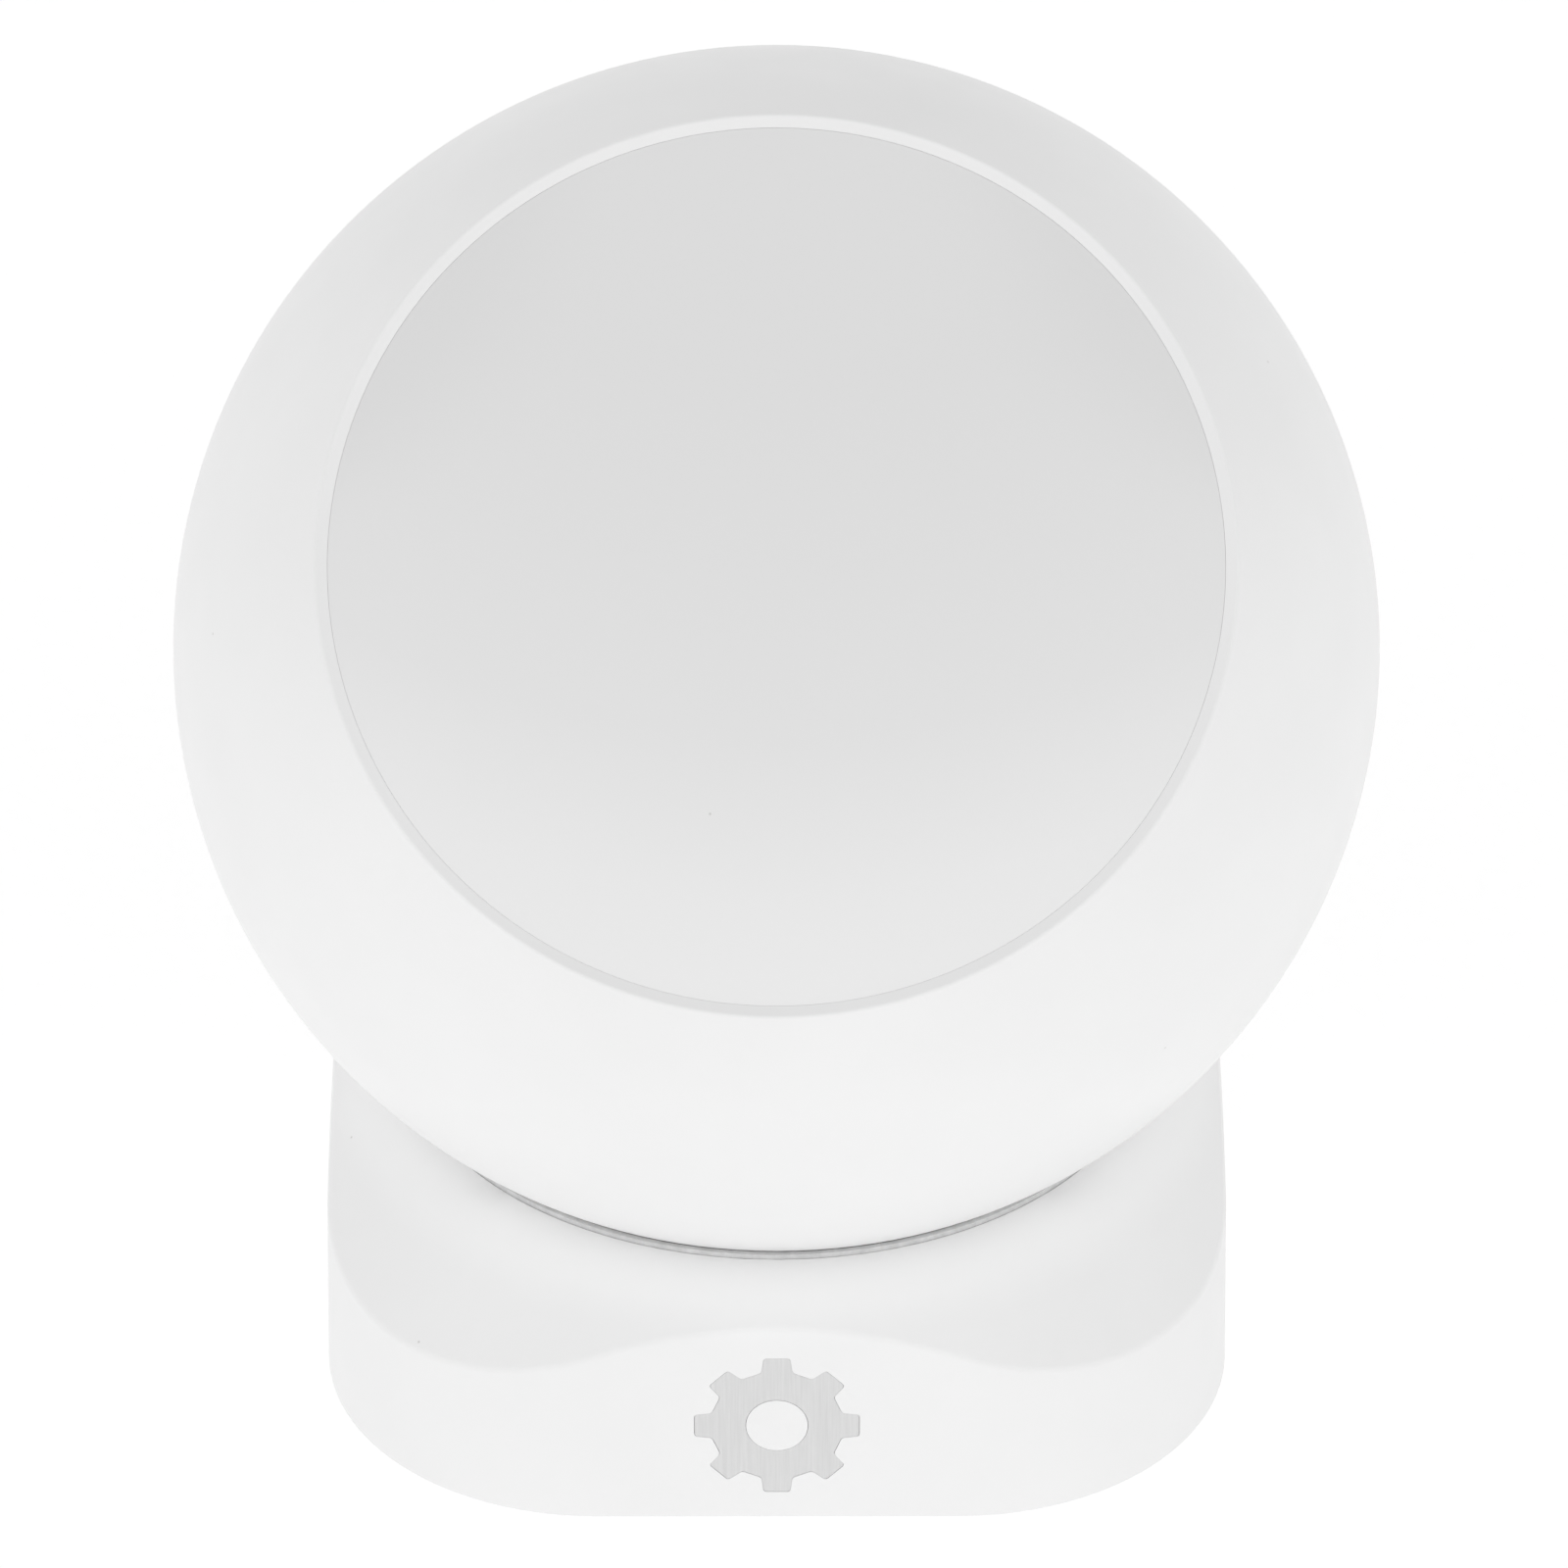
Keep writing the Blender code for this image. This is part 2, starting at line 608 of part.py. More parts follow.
def along_x(obj, place, side=1):
    """Lays a piece turned about Z along the nod axis, its top towards +X or -X."""
    obj.location = place
    obj.rotation_euler = (0.0, side * math.pi / 2, 0.0)
    return obj


def nod_hardware():
    profile = [(0.0052, 0.0166), (0.0052, 0.0148), (0.0024, 0.0148), (0.0024, 0.0106)]
    profile += [(0.0015, 0.0106), (0.0015, 0.0166)]
    horn = turned("servo_horn", profile, PAN_AXIS, 16, closed=True)
    finish(along_x(horn, (0.0, 0.0, BALL_Z)), (0.85, 0.85, 0.83), 0.4)
    turn = (0.0, math.pi / 2, 0.0)
    place = (ARM_OUT + GAP, 0.0, BALL_Z)
    screw_body("horn_screw", 0.0024, 0.0014, 0.0011, 0.0085, place, turn, PAN_AXIS)
    profile = ring_profile(0.0025, 0.0034, ARM_IN + 0.0002, ARM_OUT)
    bush = turned("pivot_bush", profile, PAN_AXIS, 16, closed=True)
    finish(along_x(bush, (0.0, 0.0, BALL_Z), -1), BRASS, 0.35, 1.0)
    profile = [(0.0, 0.0221), (0.0029, 0.0221), (0.0029, 0.0203), (0.0022, 0.0203)]
    profile += [(0.0022, 0.0169), (0.0013, 0.0169), (0.0013, 0.0131), (0.0, 0.0131)]
    pin = turned("idler_screw", profile, HEAD_AXIS, 16)
    finish(along_x(pin, (0.0, 0.0, 0.0), -1), STEEL, 0.3, 1.0)


# ---------------------------------------------------------------- head, in the head's own frame


def ball_arc(radius, start_z, end_z, steps):
    """Points (radius, height) on a sphere, evenly spaced in angle from one height to another."""
    start = math.acos(start_z / radius)
    end = math.acos(end_z / radius)
    angles = [start + (end - start) * i / steps for i in range(steps + 1)]
    return [(radius * math.sin(a), radius * math.cos(a)) for a in angles]


INNER_R = BALL_R - BALL_WALL
FACE_EDGE_Z = math.sqrt(BALL_R**2 - FACE_EDGE_R**2)
DISC_TOP = FACE_EDGE_Z - FACE_STEP
DISC_R = 0.0359
FRAME_SCREW_R = 0.0375
FRAME_ANGLES = [math.radians(30.0 + 120.0 * i) for i in range(3)]
HEAD_SCREWS = [(0.026, 0.022), (-0.026, 0.022), (-0.026, -0.022), (0.026, -0.022)]
LED_SCREW_R = 0.0295
LED_ANGLES = [math.radians(120.0 * i) for i in range(3)]


def around(radius, angle, z):
    return (radius * math.cos(angle), radius * math.sin(angle), z)


def head_front_shell():
    outside = ball_arc(BALL_R, FACE_EDGE_Z, SEAM_Z, 9)
    inside = ball_arc(INNER_R, SEAM_Z, 0.0285, 4)
    recess = [(0.0335, 0.0285), (0.0335, DISC_TOP - 0.0026), (DISC_R + GAP, DISC_TOP - 0.0026)]
    recess += [(DISC_R + GAP, DISC_TOP - 0.0001)]
    shell = turned("head_front_shell", outside + inside + recess, HEAD_AXIS, FINE, closed=True)
    for i, angle in enumerate(FRAME_ANGLES):
        start = around(FRAME_SCREW_R, angle, PLATE_Z[1] + GAP)
        join(shell, rod(f"shell_post_{i}", 0.0026, start, 0.0046, "z", HEAD_AXIS, True, 16))
        start = around(FRAME_SCREW_R, angle, PLATE_Z[1] - 0.001)
        cut(shell, rod(f"shell_post_hole_{i}", 0.0010, start, 0.0045, "z", HEAD_AXIS, True, COARSE))
    return finish(shell, WHITE, 0.4)


SPEAKER_TILT = math.radians(-125.0)  # from the face's normal to the speaker's axis, about the nod axis
SPEAKER_R = 0.0135


def speaker_axis():
    axis = empty("speaker_axis", (0.0, 0.0, 0.0), (SPEAKER_TILT, 0.0, 0.0), HEAD_AXIS)
    return axis


SPEAKER_AXIS = speaker_axis()


def grille_spots():
    """A centre hole and two rings of holes, as (x, y) across the speaker's axis."""
    spots = [(0.0, 0.0)]
    for ring, count in ((1, 5), (2, 10)):
        for i in range(count):
            angle = i / count * math.tau
            spots.append((0.0042 * ring * math.cos(angle), 0.0042 * ring * math.sin(angle)))
    return spots


def head_rear_shell():
    start = SEAM_Z - GAP
    outside = ball_arc(BALL_R, start, -BALL_R, 9)
    inside = ball_arc(INNER_R, -INNER_R, start, 5)
    shell = turned("head_rear_shell", outside + inside, HEAD_AXIS, FINE, closed=True)
    core_r = BALL_R - 0.0011
    core = turned("ball_core", ball_arc(core_r, core_r, -core_r, 16), HEAD_AXIS, FINE, cutter=True)
    for i, (x, y) in enumerate(HEAD_SCREWS):
        post = rod(f"rear_post_{i}", 0.0036, (x, y, -0.0400), 0.0275, "z", HEAD_AXIS, True, 12)
        join(shell, boolean(post, core, "INTERSECT"))
        cut(shell, rod(f"rear_sink_{i}", 0.0025, (x, y, -0.045), 0.0130, "z", HEAD_AXIS, True, 12))
        cut(shell, rod(f"rear_hole_{i}", 0.0013, (x, y, -0.040), 0.0300, "z", HEAD_AXIS, True, COARSE))
    profile = ring_profile(SPEAKER_R + GAP, SPEAKER_R + 0.0016, 0.0395, 0.0460)
    join(shell, turned("speaker_seat", profile, SPEAKER_AXIS, MEDIUM, closed=True, cutter=True))
    for i, (x, y) in enumerate(grille_spots()):
        cut(shell, rod(f"grille_{i}", 0.0011, (x, y, 0.044), 0.010, "z", SPEAKER_AXIS, True, COARSE))
    reach = BALL_R * math.sin(NOD_LIMIT + math.radians(8.0))
    low = (-COLUMN_R - 0.0015, -reach, 0.004)
    high = (COLUMN_R + 0.0015, reach, 0.0300)
    cut(shell, slab("neck_slot", low, high, COLUMN_R + 0.0014, cutter=True, segments=8))
    return finish(shell, WHITE, 0.4)


def face_parts():
    bottom = DISC_TOP - 0.0016
    ease = 0.0002
    profile = [(0.0, DISC_TOP), (DISC_R - ease, DISC_TOP), (DISC_R, DISC_TOP - ease)]
    disc = turned("face_disc", profile + [(DISC_R, bottom), (0.0, bottom)], HEAD_AXIS)
    finish(disc, (0.80, 0.80, 0.80), 0.55)
    profile = ring_profile(0.0337, 0.0357, DISC_TOP - 0.0024, DISC_TOP - 0.0018)
    finish(turned("face_gasket", profile, HEAD_AXIS, MEDIUM, closed=True), DARK, 0.9)


def led_parts():
    low = PLATE_Z[1] + 0.0022
    board = rod("led_board", 0.0322, (0.0, 0.0, low), 0.0014, "z", HEAD_AXIS, sides=FINE)
    for i, angle in enumerate(LED_ANGLES):
        start = around(LED_SCREW_R, angle, low - 0.001)
        cut(board, rod(f"led_hole_{i}", 0.0010, start, 0.004, "z", HEAD_AXIS, True, COARSE))
        place = around(LED_SCREW_R, angle, low + 0.0014 + GAP)
        screw_body(f"led_board_screw_{i + 1}", 0.0015, 0.0007, 0.0007, 0.0038, place, parent=HEAD_AXIS)
    finish(board, BOARD, 0.4)
    start = low + 0.0014 + GAP
    matrix = box("led_matrix", (-0.019, -0.019, start), (0.019, 0.019, start + 0.0015), HEAD_AXIS)
    finish(matrix, DARK, 0.4)


CRADLE_X = (-0.0166, 0.0036)
LEG_X = (0.0206, 0.0224)


def head_frame():
    low, high = PLATE_Z
    frame = rod("head_frame", 0.0400, (0.0, 0.0, low), high - low, "z", HEAD_AXIS, sides=FINE)
    sleeve = box(
        "cradle", (-0.0124, -0.0083, -0.0110), (CRADLE_X[1], 0.0083, low + 0.001), HEAD_AXIS, True
    )
    wall = box("idler_wall", (CRADLE_X[0], -0.006, -0.008), (-0.0120, 0.006, 0.008), HEAD_AXIS, True)
    join(frame, sleeve, wall)
    pocket = box("servo_pocket", (-0.0125, -0.0064, -0.0065), (0.006, 0.0064, 0.0169), HEAD_AXIS, True)
    thread = rod("idler_hole", 0.0016, (-0.018, 0.0, 0.0), 0.0054, "x", HEAD_AXIS, True, 16)
    cut(frame, pocket, thread)
    for i, z in enumerate(SERVO_SCREW_Z):
        start = (-0.0050, 0.0, z)
        cut(frame, rod(f"cradle_hole_{i}", 0.0011, start, 0.010, "x", HEAD_AXIS, True, COARSE))
    for i, (x, y) in enumerate(HEAD_SCREWS):
        join(frame, rod(f"frame_post_{i}", 0.0030, (x, y, -0.0120), 0.0345, "z", HEAD_AXIS, True, 12))
        start = (x, y, -0.014)
        cut(frame, rod(f"frame_post_hole_{i}", 0.0013, start, 0.012, "z", HEAD_AXIS, True, COARSE))
    for i, angle in enumerate(LED_ANGLES):
        start = around(LED_SCREW_R, angle, high - 0.0005)
        join(frame, rod(f"led_post_{i}", 0.0019, start, 0.0024, "z", HEAD_AXIS, True, 16))
        start = around(LED_SCREW_R, angle, high - 0.0008)
        cut(frame, rod(f"led_post_hole_{i}", 0.0010, start, 0.004, "z", HEAD_AXIS, True, COARSE))
    for i, angle in enumerate(FRAME_ANGLES):
        start = around(FRAME_SCREW_R, angle, low - 0.001)
        cut(frame, rod(f"frame_hole_{i}", 0.0010, start, 0.005, "z", HEAD_AXIS, True, COARSE))
        place = around(FRAME_SCREW_R, angle, low - GAP)
        name = f"frame_screw_{i + 1}"
        screw_body(name, 0.0017, 0.0010, 0.0007, 0.0060, place, (math.pi, 0.0, 0.0), HEAD_AXIS)
    for i, side in enumerate((-1, 1)):
        spot = (side * 0.0258, 0.0110, low - 0.001)
        cut(frame, rod(f"bracket_hole_{i}", 0.0010, spot, 0.0026, "z", HEAD_AXIS, True, COARSE))
        post = (side * 0.0140, 0.0330, low - 0.0018)
        join(frame, rod(f"control_post_{i}", 0.0020, post, 0.0022, "z", HEAD_AXIS, True, 16))
    return finish(frame, (0.20, 0.21, 0.23), 0.5)


SERVO_SCREW_Z = (-0.0088, 0.0192)


def tilt_servo():
    """A micro servo, its long side towards the face, its output on the nod axis."""
    servo = box("tilt_servo", (-0.0122, -0.0061, -0.0062), (0.0083, 0.0061, 0.0166), HEAD_AXIS)
    ears = box("servo_ears", (0.0039, -0.0058, -0.0110), (0.0063, 0.0058, 0.0214), HEAD_AXIS, True)
    turret = rod("servo_turret", 0.0055, (0.0080, 0.0, 0.0), 0.0023, "x", HEAD_AXIS, True, 24)
    join(servo, ears, turret)
    for i, z in enumerate(SERVO_SCREW_Z):
        start = (0.0030, 0.0, z)
        cut(servo, rod(f"servo_hole_{i}", 0.0011, start, 0.005, "x", HEAD_AXIS, True, COARSE))
        place = (0.0066, 0.0, z)
        turn = (0.0, math.pi / 2, 0.0)
        screw_body(f"servo_screw_{i + 1}", 0.0019, 0.0010, 0.0008, 0.0100, place, turn, HEAD_AXIS)
    return finish(servo, (0.03, 0.05, 0.12), 0.35)


def battery_parts():
    low, high = (-0.0200, -0.006, -0.0335), (0.0200, 0.018, -0.0260)
    cell = slab("battery_cell", low, high, 0.0015, HEAD_AXIS, axis="x")
    finish(cell, (0.55, 0.57, 0.60), 0.4)
    bracket = box(
        "battery_bracket", (-LEG_X[1], 0.004, -0.0356), (LEG_X[1], 0.018, -0.0338), HEAD_AXIS
    )
    top = PLATE_Z[0] - GAP
    for side, name in ((-1, "left"), (1, "right")):
        inner, outer = sorted((side * LEG_X[0], side * LEG_X[1]))
        leg = box("leg_" + name, (inner, 0.004, -0.0350), (outer, 0.018, top), HEAD_AXIS, True)
        inner, outer = sorted((side * LEG_X[0], side * 0.0287))
        tab = box("tab_" + name, (inner, 0.004, top - 0.0018), (outer, 0.018, top), HEAD_AXIS, True)
        join(bracket, leg, tab)
        spot = (side * 0.0258, 0.0110, top - 0.003)
        cut(bracket, rod("tab_hole_" + name, 0.0011, spot, 0.005, "z", HEAD_AXIS, True, COARSE))
        place = (side * 0.0258, 0.0110, top - 0.0018 - GAP)
        number = 1 if side < 0 else 2
        flip = (math.pi, 0.0, 0.0)
        screw_body(f"battery_screw_{number}", 0.0017, 0.0010, 0.0007, 0.0032, place, flip, HEAD_AXIS)
    finish(bracket, (0.20, 0.21, 0.23), 0.5)


def control_board():
    low, high = (-0.0180, 0.0140, 0.0185), (0.0180, 0.0370, 0.0199)
    board = slab("control_board", low, high, 0.001, HEAD_AXIS, segments=3)
    chip = box("main_chip", (-0.006, 0.019, 0.0175), (0.006, 0.031, 0.0188), HEAD_AXIS, True)
    join(board, chip)
    return finish(board, BOARD, 0.4)


def speaker():
    """A small round speaker: rim, cone and magnet, facing out through the rear grille."""
    profile = [(0.0, 0.0420), (0.0040, 0.0420), (0.0110, 0.0434), (SPEAKER_R, 0.0434), (SPEAKER_R, 0.0420)]
    profile += [(0.0080, 0.0398), (0.0080, 0.0370), (0.0, 0.0370)]
    return finish(turned("speaker", profile, SPEAKER_AXIS, MEDIUM), DARK, 0.5)


def head_screws():
    for i, (x, y) in enumerate(HEAD_SCREWS):
        place = (x, y, -0.0320 - GAP)
        flip = (math.pi, 0.0, 0.0)
        screw_body(f"head_screw_{i + 1}", 0.0022, 0.0014, 0.0010, 0.0290, place, flip, HEAD_AXIS)


def motor_screws():
    for i, (x, y) in enumerate(EAR_SPOTS):
        screw_body(f"pan_motor_screw_{i + 1}", 0.0016, 0.0009, 0.0008, 0.0050, (x, y, 0.0087 + GAP))


def main():
    base_shell()
    emblem()
    socket_seal()
    bottom_plate()
    feet()
    base_screws()
    thrust_washer()
    retaining_ring()
    pan_motor()
    motor_screws()
    power_board()
    usb_c_socket()
    power_switch()
    power_button()
    drive_pinion()
    pan_gear()
    neck_yoke()
    nod_hardware()
    head_front_shell()
    head_rear_shell()
    face_parts()
    led_parts()
    head_frame()
    tilt_servo()
    battery_parts()
    control_board()
    speaker()
    head_screws()


main()
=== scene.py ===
"""Looks of the desk coding robot: finer shells and trim, plastics, metals, and a pale studio round them."""

import math

import bmesh
import bpy
from mathutils import Matrix, Vector


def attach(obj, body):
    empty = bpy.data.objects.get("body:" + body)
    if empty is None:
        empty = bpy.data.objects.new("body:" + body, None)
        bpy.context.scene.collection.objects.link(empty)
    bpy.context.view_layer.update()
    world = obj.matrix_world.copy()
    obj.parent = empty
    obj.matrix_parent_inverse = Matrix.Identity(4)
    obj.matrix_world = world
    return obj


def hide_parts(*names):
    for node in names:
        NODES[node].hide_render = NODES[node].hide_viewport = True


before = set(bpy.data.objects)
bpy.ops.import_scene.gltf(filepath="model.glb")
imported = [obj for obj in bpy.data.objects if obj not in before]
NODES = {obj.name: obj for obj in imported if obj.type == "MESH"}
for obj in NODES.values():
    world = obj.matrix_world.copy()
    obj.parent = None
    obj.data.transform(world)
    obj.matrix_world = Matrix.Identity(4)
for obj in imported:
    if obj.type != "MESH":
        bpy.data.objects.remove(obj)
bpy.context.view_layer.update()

# The CAD's own lengths, metres.
BALL_R = 0.0500
BALL_Z = 0.0616
BALL_WALL = 0.0022
INNER_R = BALL_R - BALL_WALL
FACE_TILT = math.radians(45.0)
FACE_EDGE_R = 0.0369
FACE_EDGE_Z = math.sqrt(BALL_R**2 - FACE_EDGE_R**2)
DISC_TOP = FACE_EDGE_Z - 0.0004
DISC_R = 0.0359
DISC_THICK = 0.0016
RECESS_FLOOR = DISC_TOP - 0.0026
RECESS_R = 0.0335  # the opening below the diffuser's seat
SEAM_Z = -0.0114
GAP = 0.0003

BASE_HALF = 0.0381
BASE_CORNER = 0.0230
BASE_LIFT = 0.0001
BASE_WALL = 0.0020
BASE_DRAFT = math.radians(0.8)
CONE_SUM = 0.05725
CREASE_R = 0.0010
TOP_ROUND = 0.0105
ROUND_START = 0.0381
RIM_R = 0.0318
GROOVE_R = 0.0332
GROOVE_TOP = 0.0206

SCREW_XY = 0.0275
BASE_SCREW_Z = 0.0015
BASE_SCREW = (0.0021, 0.0008, 0.0009, 0.0085)  # head radius and height, shank radius and length
HEAD_SCREW = (0.0022, 0.0014, 0.0010, 0.0290)
REAR_WALL = (0.0340, 0.0400)  # cutters through the rear wall run between these depths
USB_X = -0.0055
BUTTON_X = 0.0085
PORT_Z = 0.0086
BUTTON_R = 0.0032
EMBLEM_Z = 0.0096
FOOT_XY = 0.0205
FOOT_R = 0.0046
COLUMN_R = 0.0050
NOD_LIMIT = math.radians(15.0)
SPEAKER_TILT = math.radians(-125.0)
SPEAKER_R = 0.0135
HEAD_SCREWS = [(0.026, 0.022), (-0.026, 0.022), (-0.026, -0.022), (0.026, -0.022)]
SINK_FLOOR = 0.0320  # where the head screws' heads sit, below the ball's centre
FRAME_SCREW_R = 0.0375
FRAME_ANGLES = [math.radians(30.0 + 120.0 * i) for i in range(3)]
PLATE_TOP = 0.0244
POST_R = 0.0036  # the rear shell's screw posts
TONGUE_R = (0.0456, 0.0463)  # the rear shell's tongue inside the front shell
CORNERS = {"front_left": (-1, -1), "front_right": (1, -1), "rear_left": (-1, 1), "rear_right": (1, 1)}

HEAD = Matrix.Translation((0.0, 0.0, BALL_Z)) @ Matrix.Rotation(FACE_TILT, 4, "X")
SPEAKER = HEAD @ Matrix.Rotation(SPEAKER_TILT, 4, "X")
TO_REAR = Matrix.Rotation(math.radians(-90.0), 4, "X")  # local +Z to +Y
FLIP = Matrix.Rotation(math.pi, 4, "X")

# Gaps that the eye sees as hairlines, finer here than in the CAD.
FACE_GAP_R = DISC_R + 0.00001  # the recess wall round the diffuser
LIP_GAP = 0.00006  # between the lip and the ball
SLIT = 0.00003  # between the lip and the rim
INLAY_MARGIN = 0.00004  # round the inlay in its pocket

ROUND = 192  # facets round the ball
SHARP = math.radians(32.0)

SHELL_GREY = 0.879
PAINTED_LIGHT_GREY = 0.972  # painted light: the base is painted paler where the ball shades it, standing in for light that scatters inside the plastic
DISC_PAINTED_LIGHT_GREYS = (0.785, 0.800, 0.822, 0.889, 0.905)  # painted shade and painted light on the diffuser, from its darker top to its paler bottom
DISC_PAINTED_LIGHT_STOPS = (0.30, 0.50, 0.70, 0.88, 0.97)


# ---------------------------------------------------------------- mesh helpers


def object_from(name, bm, matrix=None):
    bmesh.ops.recalc_face_normals(bm, faces=bm.faces)
    if matrix is not None:
        bmesh.ops.transform(bm, matrix=matrix, verts=bm.verts)
    mesh = bpy.data.meshes.new(name)
    bm.to_mesh(mesh)
    bm.free()
    obj = bpy.data.objects.new(name, mesh)
    bpy.context.scene.collection.objects.link(obj)
    return obj


def rounded(points, radii, steps=5):
    """The polyline with a corner of the given radius at each point whose radius isn't 0."""
    result = []
    for i, (point, radius) in enumerate(zip(points, radii)):
        here = Vector(point)
        if not radius:
            result.append(tuple(here))
            continue
        back = (Vector(points[i - 1]) - here).normalized()
        ahead = (Vector(points[(i + 1) % len(points)]) - here).normalized()
        half = math.acos(max(-1.0, min(1.0, back.dot(ahead)))) / 2
        centre = here + (back + ahead).normalized() * radius / math.sin(half)
        start = here + back * radius / math.tan(half) - centre
        end = here + ahead * radius / math.tan(half) - centre
        sweep = math.pi - 2 * half
        for step in range(steps + 1):
            t = step / steps
            spoke = (math.sin((1 - t) * sweep) * start + math.sin(t * sweep) * end) / math.sin(sweep)
            result.append(tuple(centre + spoke))
    return result


def lathe(name, profile, steps=ROUND, closed=False, matrix=None):
    """Turns (radius, height) points about Z. A point on the axis becomes one vertex."""
    bm = bmesh.new()
    rings = []
    for radius, height in profile:
        if radius < 1e-7:
            rings.append([bm.verts.new((0.0, 0.0, height))])
            continue
        angles = [i / steps * math.tau for i in range(steps)]
        rings.append([bm.verts.new((radius * math.cos(a), radius * math.sin(a), height)) for a in angles])
    for one, two in zip(rings, rings[1:] + (rings[:1] if closed else [])):
        if len(one) == 1 and len(two) == 1:
            continue
        for i in range(steps):
            j = (i + 1) % steps
            if len(one) == 1:
                bm.faces.new((one[0], two[i], two[j]))
            elif len(two) == 1:
                bm.faces.new((one[i], two[0], one[j]))
            else:
                bm.faces.new((one[i], two[i], two[j], one[j]))
    return object_from(name, bm, matrix)


def loft(name, rings, closed=False, matrix=None):
    """A skin through rings of equal length, capped at both ends unless it closes on itself."""
    bm = bmesh.new()
    rows = [[bm.verts.new(point) for point in ring] for ring in rings]
    count = len(rows[0])
    for row, following in zip(rows, rows[1:] + (rows[:1] if closed else [])):
        for i in range(count):
            j = (i + 1) % count
            bm.faces.new((row[i], row[j], following[j], following[i]))
    if not closed:
        bm.faces.new(rows[0])
        bm.faces.new(rows[-1])
    return object_from(name, bm, matrix)


def pill(half_width, half_height, corner, steps=8):
    """A rectangle with round corners, counter-clockwise."""
    corner = min(corner, half_width - 1e-6, half_height - 1e-6)
    points = []
    for quarter, (sx, sy) in enumerate(((1, 1), (-1, 1), (-1, -1), (1, -1))):
        for step in range(steps + 1):
            angle = (quarter + step / steps) * math.pi / 2
            x = sx * (half_width - corner) + corner * math.cos(angle)
            y = sy * (half_height - corner) + corner * math.sin(angle)
            points.append((x, y))
    return points


def plug(name, outline, low, high, matrix=None):
    """An outline pushed along Z, closed at both ends."""
    return loft(name, [[(x, y, z) for x, y in outline] for z in (low, high)], matrix=matrix)


def circle(radius, steps=48):
    angles = [i / steps * math.tau for i in range(steps)]
    return [(radius * math.cos(a), radius * math.sin(a)) for a in angles]


def baked(obj):
    """Applies obj's modifiers to its mesh."""
    graph = bpy.context.evaluated_depsgraph_get()
    mesh = bpy.data.meshes.new_from_object(obj.evaluated_get(graph))
    obj.modifiers.clear()
    spent, obj.data = obj.data, mesh
    bpy.data.meshes.remove(spent)
    return obj


def boolean(obj, tools, operation):
    for tool in tools:
        modifier = obj.modifiers.new(tool.name, "BOOLEAN")
        modifier.operation = operation
        modifier.object = tool
        modifier.solver = "EXACT"
    baked(obj)
    for tool in tools:
        mesh = tool.data
        bpy.data.objects.remove(tool)
        bpy.data.meshes.remove(mesh)
    return obj


def cut(obj, *tools):
    return boolean(obj, tools, "DIFFERENCE")


def join(obj, *tools):
    return boolean(obj, tools, "UNION")


def cleaned(obj, distance=2e-6):
    bm = bmesh.new()
    bm.from_mesh(obj.data)
    bmesh.ops.remove_doubles(bm, verts=bm.verts, dist=distance)
    bmesh.ops.dissolve_degenerate(bm, edges=bm.edges, dist=distance)
    bm.to_mesh(obj.data)
    bm.free()
    return obj


def piece(obj, body, slot, look, *nodes, sharp=SHARP):
    """Finishes a visible piece: smooth faces, weighted normals, its look, its body and its CAD nodes. Its slot is
    not used.
    """
    obj.data.materials.clear()
    obj.data.materials.append(look)
    obj.data.polygons.foreach_set("material_index", [0] * len(obj.data.polygons))
    obj.data.shade_smooth()
    obj.data.set_sharp_from_angle(angle=sharp)
    weighted = obj.modifiers.new("weighted_normals", "WEIGHTED_NORMAL")
    weighted.keep_sharp = True
    weighted.weight = 90
    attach(obj, body)
    if nodes:
        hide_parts(*nodes)
    return obj


def arc(radius, start_z, end_z, steps):
    """Points (radius, height) on a sphere, evenly spaced in angle from one height to another."""
    start, end = math.acos(start_z / radius), math.acos(end_z / radius)
    angles = [start + (end - start) * i / steps for i in range(steps + 1)]
    return [(radius * math.sin(a), radius * math.cos(a)) for a in angles]


# ---------------------------------------------------------------- materials


PLASTIC_IOR = 1.46


